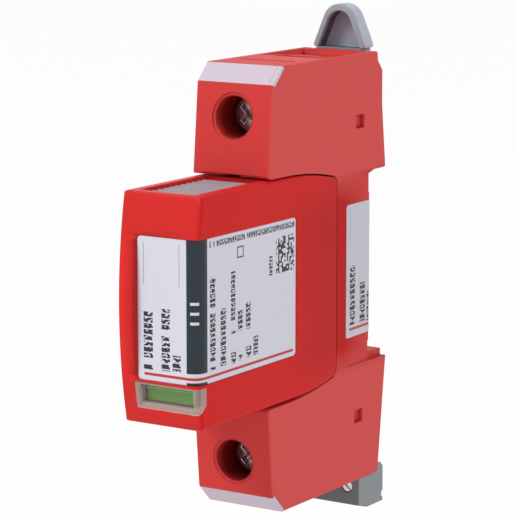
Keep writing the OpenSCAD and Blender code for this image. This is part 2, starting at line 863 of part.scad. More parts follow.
module signal_pins() {
    color(brass) for (x = poles)
        block([x - pin_w / 2, x + pin_w / 2], [pin_y - pin_t / 2, pin_y + pin_t / 2],
            [pin_end, -switch_half_z]);
}

module latch_spring() {
    color(steel) translate([0, spring_y, lug_high])
        coil(latch_spring_d, 0.5, spring_pocket_top - lug_high, 7);
}

// Front view of the pull tab, drawn in by a rim at its sides and another at its top
module tab_outline(rim = 0, top_rim = 0) {
    drop = top_rim - rim;
    polygon([
        [rim - latch_w / 2, tab_base], [latch_w / 2 - rim, tab_base],
        [tab_neck_half - rim, tab_neck - drop], [rim - tab_neck_half, tab_neck - drop]
    ]);
    translate([0, tab_centre - drop]) circle(tab_r - rim);
}

module rail_latch() {
    color(latch_grey) {
        block([-latch_w / 2, latch_w / 2], [latch_front, latch_rear], [upper_gap_z, base_top]);
        block([-tab_root_half, tab_root_half], [latch_front, latch_front + tab_t],
            [base_top - tab_root, tab_base]);
        block([-latch_w / 2 - flange_out, latch_w / 2 + flange_out], [latch_front, latch_front + flange_t],
            [upper_heel_z + 1, base_top - latch_travel - 0.5]);
        along_x(-hook_half, hook_half)
            polygon([
                [latch_front, upper_gap_z], [latch_front, nose_z + 0.3], [latch_front + 0.5, nose_z],
                [latch_front + hook_depth, upper_gap_z - 0.6],
                [latch_front + hook_depth, upper_gap_z + hook_root], [latch_front, upper_gap_z + hook_root]
            ]);
        block([-lug_half, lug_half], [pocket_front + side_gap, latch_front + 0.5], [lug_low, lug_high]);
        difference() {
            along_y(latch_front, latch_front + tab_t)
                offset(r = tab_corner_r) offset(delta = -tab_corner_r) tab_outline();
            along_y(latch_front - past, latch_front + tab_t - tab_skin) tab_outline(tab_rim, tab_top_rim);
        }
    }
}

// Side view of the signal plug, its rear shoulder standing behind the base
module plug_side() {
    shoulder_y = lower_shoulder_y + stop_gap;
    shoulder_lean = 0.3;
    notch = 0.6;
    polygon([
        [-plug_front, -base_top], [shoulder_y, -base_top],
        [shoulder_y + shoulder_lean, plug_shoulder - base_top],
        [plug_rear - 1, plug_shoulder - base_top], [plug_rear, plug_shoulder - base_top - 1],
        [plug_rear, plug_bottom + 3 * notch + 0.6], [plug_rear - notch, plug_bottom + 3 * notch],
        [plug_rear - notch, plug_bottom + 2 * notch], [plug_rear, plug_bottom + notch],
        [plug_rear, plug_bottom], [0, plug_bottom], [-plug_front, plug_bottom + 1]
    ]);
}

module signal_plug() {
    color(plug_grey) difference() {
        union() {
            along_x(-plug_half, plug_half) plug_side();
            block([-plug_nose_half, plug_nose_half], [plug_nose_y0, plug_nose_y1],
                [-base_top - 0.5, nose_len - base_top]);
        }
        for (x = poles) {
            block([x - signal_clamp_half - side_gap, x + signal_clamp_half + side_gap],
                [signal_room_front, signal_clamp_rear + side_gap],
                [signal_z - signal_room_half, signal_z + signal_room_half]);
            block([x - 1.3, x + 1.3], [signal_bar_rear, signal_clamp_rear - signal_wall],
                [plug_bottom - past, signal_z]);
            rod_y(x, signal_z, signal_head_d + 0.4, -plug_front - past, signal_seat_y);
            rod_y(x, signal_z, signal_screw_d + 4 * turn_gap, -plug_front, signal_room_front + past);
            block([x - sleeve_half_x, x + sleeve_half_x],
                [pin_y - sleeve_half_y, pin_y + sleeve_half_y],
                [signal_z + signal_room_half - 0.1, sleeve_end]);
            block([x - sleeve_half_x, x + sleeve_half_x], [pin_y - sleeve_half_y, signal_bar_rear],
                [signal_z + signal_room_half - 0.1, past / 2 - base_top]);
            block([x - 0.8, x + 0.8], [pin_y - 0.6, pin_y + 0.6],
                [nose_len - base_top - past, nose_len - base_top + past]);
        }
    }
}

// Receptacle: a square sleeve for the pin, a bend, and the bar that the signal clamp pulls against
module signal_receptacles() {
    bend_low = signal_z + signal_room_half;
    color(brass) for (x = poles) {
        difference() {
            block([x - sleeve_half_x, x + sleeve_half_x], [pin_y - sleeve_half_y, pin_y + sleeve_half_y],
                [bend_low, sleeve_end]);
            block([x - pin_w / 2 - turn_gap, x + pin_w / 2 + turn_gap],
                [pin_y - pin_t / 2 - turn_gap, pin_y + pin_t / 2 + turn_gap],
                [pin_end - stop_gap, far]);
        }
        block([x - sleeve_half_x, x + sleeve_half_x], [pin_y, signal_bar_rear],
            [bend_low, bend_low + bend_t]);
        block([x - sleeve_half_x, x + sleeve_half_x], [signal_bar_front, signal_bar_rear],
            [signal_z - signal_clamp_half_h, bend_low + bend_t]);
    }
}

module signal_screw(x) {
    color(steel) difference() {
        union() {
            rod_y(x, signal_z, signal_head_d, signal_head_y, signal_seat_y);
            rod_y(x, signal_z, signal_screw_d, signal_seat_y, signal_bar_front);
        }
        translate([x, signal_head_y, signal_z]) rotate([0, 40, 0])
            cube([signal_head_d * 2, signal_head_t, 0.5], center = true);
    }
}

module signal_clamp(x) {
    color(steel) difference() {
        block([x - signal_clamp_half, x + signal_clamp_half], [signal_clamp_front, signal_clamp_rear],
            [signal_z - signal_clamp_half_h, signal_z + signal_clamp_half_h]);
        block([x - signal_clamp_half + signal_side, x + signal_clamp_half - signal_side],
            [signal_clamp_front + signal_wall, signal_clamp_rear - signal_wall],
            [signal_z - far, signal_z + far]);
        rod_y(x, signal_z, signal_screw_d + 2 * turn_gap, signal_clamp_front - past, signal_bar_front);
    }
}

// Field of the label: round the right front edge, with round corners at its two free ends
module label_field(margin = 0) {
    left = label_margin - half_w + margin;
    low = -label_bottom + margin;
    high = label_top - margin;
    rear = -label_rear - margin;
    r = label_corner_r;
    intersection() {
        along_y(-far, far) {
            translate([left + r, low]) square([far, high - low]);
            translate([left, low + r]) square([far, high - low - 2 * r]);
            translate([left + r, low + r]) circle(r);
            translate([left + r, high - r]) circle(r);
        }
        along_x(-far, far) {
            translate([-far, low]) square([far + rear - r, high - low]);
            translate([-far, low + r]) square([far + rear, high - low - 2 * r]);
            translate([rear - r, low + r]) circle(r);
            translate([rear - r, high - r]) circle(r);
        }
    }
}

// Body that the label lies on: flat in front, round at its right edge
module label_core(grow = 0) {
    front = -label_front + label_t - grow;
    side = half_w - label_recess + grow;
    r = label_edge_r + grow;
    along_z(-far, far) {
        translate([-far, front]) square([far + side - r, far]);
        translate([-far, front + r]) square([far + side, far]);
        translate([side - r, front + r]) circle(r);
    }
}

// Field of the status window, with its lower corner on the right side cut off
module window_field(margin = 0) {
    left = window_margin - half_w + margin;
    low = window_bottom + margin;
    high = window_top - margin;
    rear = -module_front + window_wrap;
    r = window_corner_r;
    intersection() {
        block([left, far], [-far, rear], [low, high]);
        along_x(-far, far)
            polygon([
                [-far, low], [rear - window_run, low], [rear, low + window_cut], [rear, high], [-far, high]
            ]);
        along_y(-far, far) {
            translate([left + r, low]) square([far, high - low]);
            translate([left, low + r]) square([far, high - low - r]);
            translate([left + r, low + r]) circle(r);
        }
    }
}

module lever_openings() {
    block([-pad_w / 2 - side_gap, pad_w / 2 + side_gap], [pad_front - side_gap, pad_rear + side_gap],
        [hood_z - past, module_half + past]);
    block([-pad_w / 2 - side_gap, pad_w / 2 + side_gap], [pad_rim - module_front, pad_front],
        [pad_top, module_half + past]);
    block([-nose_w / 2 - side_gap, nose_w / 2 + side_gap], [nose_front - stop_gap, nose_rear + stop_gap],
        [hood_z - past, module_half + past]);
}

// Bosses with blind bores for the pivot of a lever, and the ledge under its spring
module lever_supports() {
    boss_x = pad_w / 2 + stop_gap;
    for (side = [0, 1]) mirror([side, 0, 0]) difference() {
        rod_x(pivot_y, pivot_z, pivot_d + 2.4, boss_x, hood_x + 0.2);
        rod_x(pivot_y, pivot_z, pivot_d + 2 * turn_gap, boss_x - past, hood_x);
    }
    block([-hood_x - 0.2, hood_x + 0.2], [lever_spring_y - 2.4, lever_spring_y + 2.4],
        [lever_ledge_z - 1, lever_ledge_z]);
}

module module_housing() {
    color(case_red) {
        difference() {
            module_body();
            intersection() {
                module_body(hood_wall, module_edge_r / 2, module_left_r);
                block([-far, far], [hood_front, plate_front], [-far, far]);
            }
            block([-hood_x, hood_x], [plate_front - past, far], [-plate_half, plate_half]);
            difference() {
                label_field();
                label_core();
            }
            window_field();
            both_ends() lever_openings();
        }
        both_ends() lever_supports();
        for (y = guide_ys) rod_x(y, 0, guide_d, slide_x0 - 0.2, hood_x + 0.2);
        block([slide_x0, hood_x + 0.2], [indicator_spring_y - 2, indicator_spring_y + 2],
            [indicator_ledge_z, indicator_ledge_z + 1.2]);
    }
}

module module_back_plate() {
    color(case_red) difference() {
        block([-hood_x, hood_x], [plate_front, module_rear], [-plate_half, plate_half]);
        both_ends()
            block([-blade_t / 2, blade_t / 2], [-far, far],
                [blade_z - blade_h / 2, blade_z + blade_h / 2]);
        rod_y(plunger_x, 0, plunger_d + 0.8, plate_front - past, module_rear + past);
    }
}

module module_label() {
    color(strip_white) difference() {
        intersection() {
            label_field(label_gap);
            label_core(label_t);
        }
        label_core();
    }
}

module status_window() {
    pane_right = half_w - module_edge_r - window_frame / 2;
    color([0.82, 0.86, 0.84, 0.6]) difference() {
        intersection() {
            window_field();
            module_body();
        }
        module_body(window_t, module_edge_r / 2, module_left_r);
        difference() {
            window_field(window_frame);
            module_body(window_step);
            block([pane_right, far], [-far, far], [-far, far]);
        }
    }
}

module varistor() {
    lug = 1.5;
    color([0.16, 0.27, 0.55]) {
        block([varistor_x0, varistor_x1], [varistor_front, varistor_rear],
            [-varistor_half, varistor_half]);
        block([varistor_x1, blade_t / 2], [arm_y0 - lug, arm_y0 - 0.1], [arm_low + 4, arm_high - 2]);
    }
}

// Blade that plugs into the fork of a contact bar, its entering corners cut off
module blade() {
    lead_in = 0.3;
    along_z(blade_z - blade_h / 2, blade_z + blade_h / 2)
        polygon([
            [-blade_t / 2, blade_front], [blade_t / 2, blade_front],
            [blade_t / 2, blade_end - 3 * lead_in], [blade_t / 2 - lead_in, blade_end],
            [lead_in - blade_t / 2, blade_end], [-blade_t / 2, blade_end - 3 * lead_in]
        ]);
}

// The upper blade is soldered to the varistor by a side lug
module upper_blade() {
    color(copper) {
        blade();
        block([varistor_x1, blade_t / 2], [blade_front, blade_front + solder_lug],
            [blade_z - blade_h / 2, blade_z + blade_h / 2]);
    }
}

module lower_blade() {
    color(copper) below() blade();
}

// Slide of the indicator: flag behind the window, slotted bar on two guide pins, ramp at the rear
module indicator_slider() {
    slot_d = guide_d + 2 * side_gap;
    color([0.82, 0.80, 0.74]) difference() {
        union() {
            block([flag_left, slide_x1], [flag_front, flag_rear],
                [field_top - field_h - 0.2, field_top + trip_travel + 0.2]);
            block([slide_x0, slide_x1], [flag_front, flag_rear + 1.2], [field_top, slide_top]);
            along_x(slide_x0, slide_x1)
                polygon([
                    [flag_front, slide_bottom], [ramp_y0 + ramp_slope * slide_bottom, slide_bottom],
                    [ramp_y0 + ramp_slope * ramp_high, ramp_high],
                    [ramp_y0 + ramp_slope * ramp_high, slide_top], [flag_front, slide_top]
                ]);
        }
        for (y = guide_ys)
            block([-far, far], [y - slot_d / 2, y + slot_d / 2],
                [-slot_d / 2, slot_d / 2 + trip_travel]);
    }
}

module flag_field(top) {
    block([flag_left, slide_x1], [flag_front - field_t, flag_front], [top - field_h, top]);
}

module green_field() {
    color([0.43, 0.62, 0.32]) flag_field(field_top);
}

module red_field() {
    color([0.78, 0.12, 0.10]) flag_field(field_top + trip_travel);
}

// Solder arm on the slide that opens the current path when the slide falls
module disconnector_arm() {
    color(copper) {
        block([arm_x0, arm_x0 + arm_t], [arm_y0, arm_y1], [arm_low, arm_high]);
        block([arm_x0, slide_x0], [arm_y0, arm_y0 + solder_lug], [slide_bottom, arm_high]);
    }
}

module indicator_spring() {
    color(steel) translate([plunger_x, indicator_spring_y, slide_top])
        coil(2, 0.3, indicator_ledge_z - slide_top, 6);
}

module lever_spring() {
    translate([0, lever_spring_y, lever_ledge_z]) coil(lever_spring_d, 0.4, pad_bottom - lever_ledge_z, 3);
}

module upper_lever_spring() {
    color(steel) lever_spring();
}

module lower_lever_spring() {
    color(steel) below() lever_spring();
}

// Release lever: ribbed pad, pivot pins at the front, arm under the hood, latch nose at the rear
module release_lever() {
    rib_root = pad_top - rib_h;
    rib_count = floor((pad_len - rib_pitch * 0.4) / rib_pitch);
    rib_start = (pad_len - (rib_count - 0.4) * rib_pitch) / 2;
    block([-pad_w / 2, pad_w / 2], [pad_front, pad_rear], [pad_bottom, rib_root]);
    for (i = [0 : rib_count - 1])
        translate([0, pad_front + rib_start + i * rib_pitch, rib_root])
            along_x(-pad_w / 2, pad_w / 2)
                polygon([
                    [0, -0.1], [rib_pitch * 0.6, -0.1], [rib_pitch * 0.5, rib_h], [rib_pitch * 0.1, rib_h]
                ]);
    block([-pad_w / 2, pad_w / 2], [pad_front, pivot_y + pivot_d / 2 + 0.2],
        [pivot_z - pivot_d / 2, pad_bottom + 0.1]);
    rod_x(pivot_y, pivot_z, pivot_d, -hood_x + side_gap, hood_x - side_gap);
    block([-nose_w / 2, nose_w / 2], [arm_root, nose_rear], [arm_bottom, arm_top]);
    along_x(-nose_w / 2, nose_w / 2)
        polygon([
            [nose_front, arm_top - 0.2], [nose_rear, arm_top - 0.2],
            [nose_rear, nose_top - nose_h / 2], [nose_front + 0.6, nose_top], [nose_front, nose_top]
        ]);
}

module upper_release_lever() {
    color(lever_grey) release_lever();
}

module lower_release_lever() {
    color(lever_grey) below() release_lever();
}

base_housing();
base_cover();
upper_marking_strip();
lower_marking_strip();
base_label();
upper_contact();
lower_contact();
signal_switch();
signal_pins();
latch_spring();
rail_latch();
upper_screw();
upper_clamp();
lower_screw();
lower_clamp();
switch_plunger();
signal_plug();
signal_receptacles();
signal_screw(poles[0]);  // signal_screw_1
signal_screw(poles[1]);  // signal_screw_2
signal_screw(poles[2]);  // signal_screw_3
signal_clamp(poles[0]);  // signal_clamp_1
signal_clamp(poles[1]);  // signal_clamp_2
signal_clamp(poles[2]);  // signal_clamp_3
module_housing();
module_back_plate();
module_label();
status_window();
varistor();
upper_blade();
lower_blade();
indicator_slider();
green_field();
red_field();
disconnector_arm();
indicator_spring();
upper_lever_spring();
lower_lever_spring();
upper_release_lever();
lower_release_lever();
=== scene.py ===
import math
import bmesh
import bpy
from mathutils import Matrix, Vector


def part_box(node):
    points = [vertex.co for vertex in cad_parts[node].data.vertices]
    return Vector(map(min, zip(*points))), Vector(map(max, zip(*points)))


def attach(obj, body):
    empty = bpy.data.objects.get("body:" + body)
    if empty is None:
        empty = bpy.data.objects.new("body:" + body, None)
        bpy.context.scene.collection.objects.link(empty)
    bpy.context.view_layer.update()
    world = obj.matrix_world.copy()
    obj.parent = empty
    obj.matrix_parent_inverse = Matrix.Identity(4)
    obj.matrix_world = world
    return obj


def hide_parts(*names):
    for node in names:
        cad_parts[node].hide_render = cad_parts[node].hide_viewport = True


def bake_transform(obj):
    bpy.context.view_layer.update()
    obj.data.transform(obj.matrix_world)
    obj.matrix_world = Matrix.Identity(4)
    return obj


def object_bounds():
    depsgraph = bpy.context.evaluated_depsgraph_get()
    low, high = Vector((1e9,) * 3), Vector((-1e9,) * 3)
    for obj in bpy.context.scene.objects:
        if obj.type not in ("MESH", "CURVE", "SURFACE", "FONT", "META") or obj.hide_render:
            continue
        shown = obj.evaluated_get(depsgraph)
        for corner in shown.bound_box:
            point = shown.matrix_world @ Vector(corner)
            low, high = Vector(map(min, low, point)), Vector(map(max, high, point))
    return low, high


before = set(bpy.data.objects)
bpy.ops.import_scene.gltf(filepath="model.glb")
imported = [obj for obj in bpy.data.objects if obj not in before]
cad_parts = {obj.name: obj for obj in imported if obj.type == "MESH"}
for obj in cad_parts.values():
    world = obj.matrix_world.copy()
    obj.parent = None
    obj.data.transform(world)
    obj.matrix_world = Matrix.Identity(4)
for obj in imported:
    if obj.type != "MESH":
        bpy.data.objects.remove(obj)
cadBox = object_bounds()
mm = 0.001
scene = bpy.context.scene
print("frame loaded with", len(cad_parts), "nodes")


def linear(screen):  # screen colour, three numbers from 0 to 255, to linear light
    def channel(value):
        share = value / 255
        return share / 12.92 if share <= 0.04045 else ((share + 0.055) / 1.055) ** 2.4
    return tuple(channel(value) for value in screen) + (1.0,)


# Camera at the photo's viewing angle: place in metres, turn in degrees
view = {"place": (0.27572, -0.45551, 0.09441), "azimuth": 32.925, "elevation": 9.945,
        "lens": 178.8, "sensor": 36.0, "nearest": 0.05}

cameraData = bpy.data.cameras.new("photoCamera")
cameraData.lens = view["lens"]
cameraData.sensor_width = view["sensor"]
cameraData.sensor_fit = "HORIZONTAL"
cameraData.clip_start = view["nearest"]
camera = bpy.data.objects.new("photoCamera", cameraData)
camera.location = view["place"]
camera.rotation_euler = (math.radians(90 - view["elevation"]), 0, math.radians(view["azimuth"]))
scene.collection.objects.link(camera)
scene.camera = camera
scene.view_settings.view_transform = "Standard"
print("camera placed")


# Small helpers for node trees
def put(tree, socket, value):  # links a socket, or sets a plain value
    if isinstance(value, bpy.types.NodeSocket):
        tree.links.new(value, socket)
    else:
        socket.default_value = value


def calc(tree, operation, first, second=0.0, clamp=False):
    node = tree.nodes.new("ShaderNodeMath")
    node.operation = operation
    node.use_clamp = clamp
    put(tree, node.inputs[0], first)
    put(tree, node.inputs[1], second)
    return node.outputs[0]


def minus(tree, first, second):
    return calc(tree, "SUBTRACT", first, second)


def times(tree, first, second):
    return calc(tree, "MULTIPLY", first, second)


def below(tree, value, limit):
    return calc(tree, "LESS_THAN", value, limit)


def above(tree, value, limit):
    return calc(tree, "GREATER_THAN", value, limit)


def sizeOf(tree, value):
    return calc(tree, "ABSOLUTE", value)


def centred(tree, value):  # noise about zero
    return minus(tree, value, 0.5)


def ramp(tree, value, start, length):  # 0 up to start, 1 from a length past it
    return calc(tree, "DIVIDE", minus(tree, value, start), length, clamp=True)


def adjust(tree, value, factor, base, clamp=False):  # value times factor, plus base
    return calc(tree, "ADD", times(tree, value, factor), base, clamp=clamp)


def both(tree, *masks):  # 1 where every mask is 1
    total = masks[0]
    for mask in masks[1:]:
        total = times(tree, total, mask)
    return total


def either(tree, *masks):  # 1 where any mask is 1
    total = masks[0]
    for mask in masks[1:]:
        total = calc(tree, "MAXIMUM", total, mask)
    return total


def vectorCalc(tree, operation, first, second=(0, 0, 0)):
    node = tree.nodes.new("ShaderNodeVectorMath")
    node.operation = operation
    put(tree, node.inputs[0], first)
    put(tree, node.inputs[1], second)
    return node.outputs


def millimetres(tree):  # place on the piece, in millimetres
    coords = tree.nodes.new("ShaderNodeTexCoord").outputs["Object"]
    return vectorCalc(tree, "MULTIPLY", coords, (1 / mm, 1 / mm, 1 / mm))["Vector"]


def axes(tree):  # the same place as three numbers, named X, Y and Z
    split = tree.nodes.new("ShaderNodeSeparateXYZ")
    put(tree, split.inputs[0], millimetres(tree))
    return split.outputs


def point(tree, first, second=0.0):
    joined = tree.nodes.new("ShaderNodeCombineXYZ")
    put(tree, joined.inputs[0], first)
    put(tree, joined.inputs[1], second)
    return joined.outputs[0]


def noise(tree, coords, scale=1.0, detail=2.0):
    node = tree.nodes.new("ShaderNodeTexNoise")
    put(tree, node.inputs["Vector"], coords)
    put(tree, node.inputs["Scale"], scale)
    put(tree, node.inputs["Detail"], detail)
    return node.outputs["Fac"]


def chance(tree, first, second):  # a random number from 0 to 1 for each pair of numbers
    node = tree.nodes.new("ShaderNodeTexWhiteNoise")
    node.noise_dimensions = "2D"
    put(tree, node.inputs["Vector"], point(tree, first, second))
    return node.outputs["Value"]


def brighten(tree, color, amount):
    node = tree.nodes.new("ShaderNodeHueSaturation")
    put(tree, node.inputs["Color"], color)
    put(tree, node.inputs["Value"], amount)
    return node.outputs["Color"]


def mixColor(tree, amount, first, second):
    node = tree.nodes.new("ShaderNodeMix")
    node.data_type = "RGBA"
    put(tree, node.inputs["Factor"], amount)
    put(tree, node.inputs[6], first)  # the two colours share their names with other sockets
    put(tree, node.inputs[7], second)
    return node.outputs[2]


def newGroup(name, inputs, outputs):  # the label and kind of each socket
    group = bpy.data.node_groups.new(name, "ShaderNodeTree")
    for direction, sockets in (("INPUT", inputs), ("OUTPUT", outputs)):
        for label, kind in sockets.items():
            group.interface.new_socket(name=label, in_out=direction, socket_type="NodeSocket" + kind)
    return group, group.nodes.new("NodeGroupInput").outputs, group.nodes.new("NodeGroupOutput").inputs


def place(tree, group, **values):  # puts a group into a material with its own values
    node = tree.nodes.new("ShaderNodeGroup")
    node.node_tree = group
    for label, value in values.items():
        put(tree, node.inputs[label], value)
    return node.outputs


surface = {"Color": "Color", "Roughness": "Float", "Height": "Float"}  # what a surface effect puts out

# Moulded skin: fine spark-eroded grain, soft mottling and uneven gloss
skinLook = {"broadScale": 0.09, "fineDetail": 3, "fineShare": 0.6}


def makeSkin(look):
    inputs = {"Color": "Color", "Mottle": "Float", "Grain": "Float", "Rough": "Float", "Spread": "Float"}
    group, given, out = newGroup("mouldedSkin", inputs, surface)
    coords = millimetres(group)
    broad = noise(group, coords, look["broadScale"])
    fine = noise(group, coords, given["Grain"], look["fineDetail"])
    drift = adjust(group, centred(group, fine), look["fineShare"], centred(group, broad))
    brightness = adjust(group, drift, given["Mottle"], 1.0)
    put(group, out["Color"], brighten(group, given["Color"], brightness))
    put(group, out["Roughness"], adjust(group, drift, given["Spread"], given["Rough"], clamp=True))
    put(group, out["Height"], fine)
    return group


# Soft edge: the small moulded radius of an edge as a normal, and a mask where the edge is painted paler, a
# painted highlight along it
edgeLook = {"samples": 6, "breakScale": 0.8, "breakDetail": 3}


def makeEdge(look):
    outputs = {"Mask": "Float", "Normal": "Vector"}
    group, given, out = newGroup("softEdge", {"Radius": "Float", "Gain": "Float"}, outputs)
    bevel = group.nodes.new("ShaderNodeBevel")
    bevel.samples = look["samples"]
    put(group, bevel.inputs["Radius"], times(group, given["Radius"], mm))
    normal = bevel.outputs["Normal"]
    flat = group.nodes.new("ShaderNodeNewGeometry").outputs["Normal"]
    facing = vectorCalc(group, "DOT_PRODUCT", normal, flat)["Value"]
    paintedHighlight = calc(group, "MULTIPLY", minus(group, 1.0, facing), given["Gain"], clamp=True)
    breakUp = noise(group, millimetres(group), look["breakScale"], look["breakDetail"])
    put(group, out["Mask"], calc(group, "MULTIPLY", paintedHighlight, breakUp, clamp=True))
    put(group, out["Normal"], normal)
    return group


# Drawn metal: fine lines along one direction, with dull patches
drawnLook = {"lineDetail": 4, "patchScale": 0.35, "patchDetail": 3, "patchShare": 0.35, "darkest": 0.82,
             "gloss": 0.3, "bump": 0.25}


def makeDrawn(look):
    inputs = {"Color": "Color", "Stretch": "Vector", "Rough": "Float"}
    group, given, out = newGroup("drawnMetal", inputs, surface)
    coords = millimetres(group)
    stretched = vectorCalc(group, "MULTIPLY", coords, given["Stretch"])["Vector"]
    lines = noise(group, stretched, detail=look["lineDetail"])
    patches = noise(group, coords, look["patchScale"], look["patchDetail"])
    brightness = adjust(group, patches, look["patchShare"], look["darkest"])
    roughness = adjust(group, centred(group, lines), look["gloss"], given["Rough"], clamp=True)
    put(group, out["Color"], brighten(group, given["Color"], brightness))
    put(group, out["Roughness"], roughness)
    put(group, out["Height"], lines)
    return group


# Turned metal: rings cut round an axis along Y, with a duller patina between them
turnedLook = {"ringsPerMm": 9.0, "ringDetail": 2, "patinaScale": 0.9, "patinaDetail": 3, "patinaShare": 0.5,
              "darkest": 0.72, "gloss": 0.3, "bump": 0.3}


def makeTurned(look):
    inputs = {"Color": "Color", "Centre": "Vector", "Rough": "Float"}
    group, given, out = newGroup("turnedMetal", inputs, surface)
    offset = vectorCalc(group, "SUBTRACT", millimetres(group), given["Centre"])["Vector"]
    flat = vectorCalc(group, "MULTIPLY", offset, (1, 0, 1))["Vector"]
    reach = vectorCalc(group, "LENGTH", flat)["Value"]
    rings = noise(group, point(group, times(group, reach, look["ringsPerMm"])), detail=look["ringDetail"])
    patina = noise(group, offset, look["patinaScale"], look["patinaDetail"])
    brightness = adjust(group, patina, look["patinaShare"], look["darkest"])
    roughness = adjust(group, centred(group, rings), look["gloss"], given["Rough"], clamp=True)
    put(group, out["Color"], brighten(group, given["Color"], brightness))
    put(group, out["Roughness"], roughness)
    put(group, out["Height"], rings)
    return group


# Print row: a stripe of dashes, as small print reads from a distance
rowLook = {"border": 0.05, "stroke": 0.8, "spotsPerDash": 2.2, "spotHeight": 0.4, "spotGap": 0.4,
           "solidFrom": 0.99}


def within(tree, value, low, high):  # 1 between low and high, with a soft border in mm
    rise = ramp(tree, value, low, rowLook["border"])
    fall = ramp(tree, high, value, rowLook["border"])
    return both(tree, rise, fall)


def makeRow(look):
    labels = ("Across", "Low", "High", "Along", "Start", "End", "Pitch", "Fill")
    group, given, out = newGroup("printRow", dict.fromkeys(labels, "Float"), {"Mask": "Float"})
    cell = calc(group, "DIVIDE", given["Along"], given["Pitch"])
    inked = below(group, chance(group, calc(group, "FLOOR", cell), given["Low"]), given["Fill"])
    stroke = below(group, calc(group, "FRACT", cell), look["stroke"])
    spotHeight = times(group, minus(group, given["High"], given["Low"]), look["spotHeight"])
    up = calc(group, "DIVIDE", minus(group, given["Across"], given["Low"]), spotHeight)
    spots = noise(group, point(group, times(group, cell, look["spotsPerDash"]), up), detail=0)
    broken = both(group, inked, stroke, above(group, spots, look["spotGap"]))
    dashes = either(group, broken, above(group, given["Fill"], look["solidFrom"]))
    level = within(group, given["Across"], given["Low"], given["High"])
    length = within(group, given["Along"], given["Start"], given["End"])
    put(group, out["Mask"], both(group, level, length, dashes))
    return group


skinGroup = makeSkin(skinLook)
edgeGroup = makeEdge(edgeLook)
drawnGroup = makeDrawn(drawnLook)
turnedGroup = makeTurned(turnedLook)
rowGroup = makeRow(rowLook)
print("effect groups built")


def newMaterial(name):
    material = bpy.data.materials.new(name)
    material.use_nodes = True
    return material, material.node_tree, material.node_tree.nodes["Principled BSDF"]


def addBump(tree, shader, height, strength, depth=0.02, normal=None):  # depth in mm
    bump = tree.nodes.new("ShaderNodeBump")
    bump.inputs["Strength"].default_value = strength
    bump.inputs["Distance"].default_value = depth * mm
    put(tree, bump.inputs["Height"], height)
    if normal:
        put(tree, bump.inputs["Normal"], normal)
    put(tree, shader.inputs["Normal"], bump.outputs["Normal"])


def placeSkin(tree, look, color):
    return place(tree, skinGroup, Color=color, Mottle=look["mottle"], Grain=look["grain"],
                 Rough=look["rough"], Spread=look["spread"])


# Plastics: colours on screen, grain per mm, gloss, bump, and the colour of the painted highlight on an edge
# and the edge's radius.
# Some carry painted light and shade, on their broad sides (side, core), at the front (front) or beside the
# label (margin)
plastics = {
    "caseRed": {
        "slot": "case_red", "color": (216, 63, 61), "mottle": 0.07, "grain": 5.5, "rough": 0.52,
        "spread": 0.12, "bump": 0.35, "specular": 0.15, "edge": (230, 102, 98), "radius": 0.25,
        "side": (224, 83, 80),
        "core": {"color": (196, 16, 8), "front": -16.0, "depth": 2.0, "height": 21.5, "blend": 6.0}},
    "moduleRed": {
        "slot": "module_red", "color": (218, 42, 40), "mottle": 0.05, "grain": 7.0, "rough": 0.42,
        "spread": 0.1, "bump": 0.18, "specular": 0.15, "edge": (226, 76, 72), "radius": 0.3,
        "side": (217, 24, 21),
        "core": {"color": (198, 14, 12), "front": -36.0, "depth": 16.0, "height": 22.0, "blend": 8.0},
        "margin": {"color": (232, 46, 43), "shade": (180, 36, 34), "span": (-8.7, -5.1), "fall": 0.8,
                   "height": 15.0, "blend": 3.0, "front": -60.0}},
    "markingWhite": {
        "slot": "marking_white", "color": (211, 196, 210), "mottle": 0.03, "grain": 4.0, "rough": 0.45,
        "spread": 0.1, "bump": 0.15, "specular": 0.4, "edge": (236, 228, 236), "radius": 0.2},
    "padGrey": {
        "slot": "pad_grey", "color": (168, 155, 162), "mottle": 0.06, "grain": 4.5, "rough": 0.5,
        "spread": 0.12, "bump": 0.3, "specular": 0.4, "edge": (200, 190, 195), "radius": 0.15},
    "latchGrey": {
        "slot": "latch_grey", "color": (190, 195, 208), "mottle": 0.06, "grain": 5.0, "rough": 0.5,
        "spread": 0.12, "bump": 0.3, "specular": 0.35, "edge": (196, 197, 204), "radius": 0.35,
        "front": {"color": (161, 169, 178), "limit": 1.9, "above": 44.9}},
    "plugGrey": {
        "slot": "plug_grey", "color": (145, 150, 153), "mottle": 0.06, "grain": 5.0, "rough": 0.5,
        "spread": 0.12, "bump": 0.3, "specular": 0.35, "edge": (172, 176, 179), "radius": 0.2,
        "front": {"color": (110, 114, 117), "limit": -3.4, "above": -60.0}},
    "ivoryPlastic": {
        "slot": "ivory_plastic", "color": (214, 205, 184), "mottle": 0.05, "grain": 4.0, "rough": 0.45,
        "spread": 0.1, "bump": 0.15, "specular": 0.4, "edge": (228, 222, 205), "radius": 0.15},
    "switchBlack": {
        "slot": "switch_black", "color": (42, 42, 45), "mottle": 0.1, "grain": 5.0, "rough": 0.45,
        "spread": 0.12, "bump": 0.25, "specular": 0.4, "edge": (70, 70, 74), "radius": 0.2},
    "varistorBlue": {
        "slot": "varistor_blue", "color": (38, 62, 122), "mottle": 0.12, "grain": 2.5, "rough": 0.35,
        "spread": 0.15, "bump": 0.3, "specular": 0.5, "edge": (62, 88, 150), "radius": 0.4},
    "flagGreen": {
        "slot": "flag_green", "color": (104, 172, 70), "mottle": 0.06, "grain": 4.0, "rough": 0.55,
        "spread": 0.1, "bump": 0.1, "specular": 0.3, "edge": (120, 182, 92), "radius": 0.1},
    "flagRed": {
        "slot": "flag_red", "color": (190, 34, 30), "mottle": 0.06, "grain": 4.0, "rough": 0.55,
        "spread": 0.1, "bump": 0.1, "specular": 0.3, "edge": (210, 70, 64), "radius": 0.1},
}
highlightGain = 2.2  # how fast the painted highlight on an edge turns pale as it bends
sideFace = {"start": 8.55, "blend": 0.3}  # how far out the painted light and shade of the broad sides begins
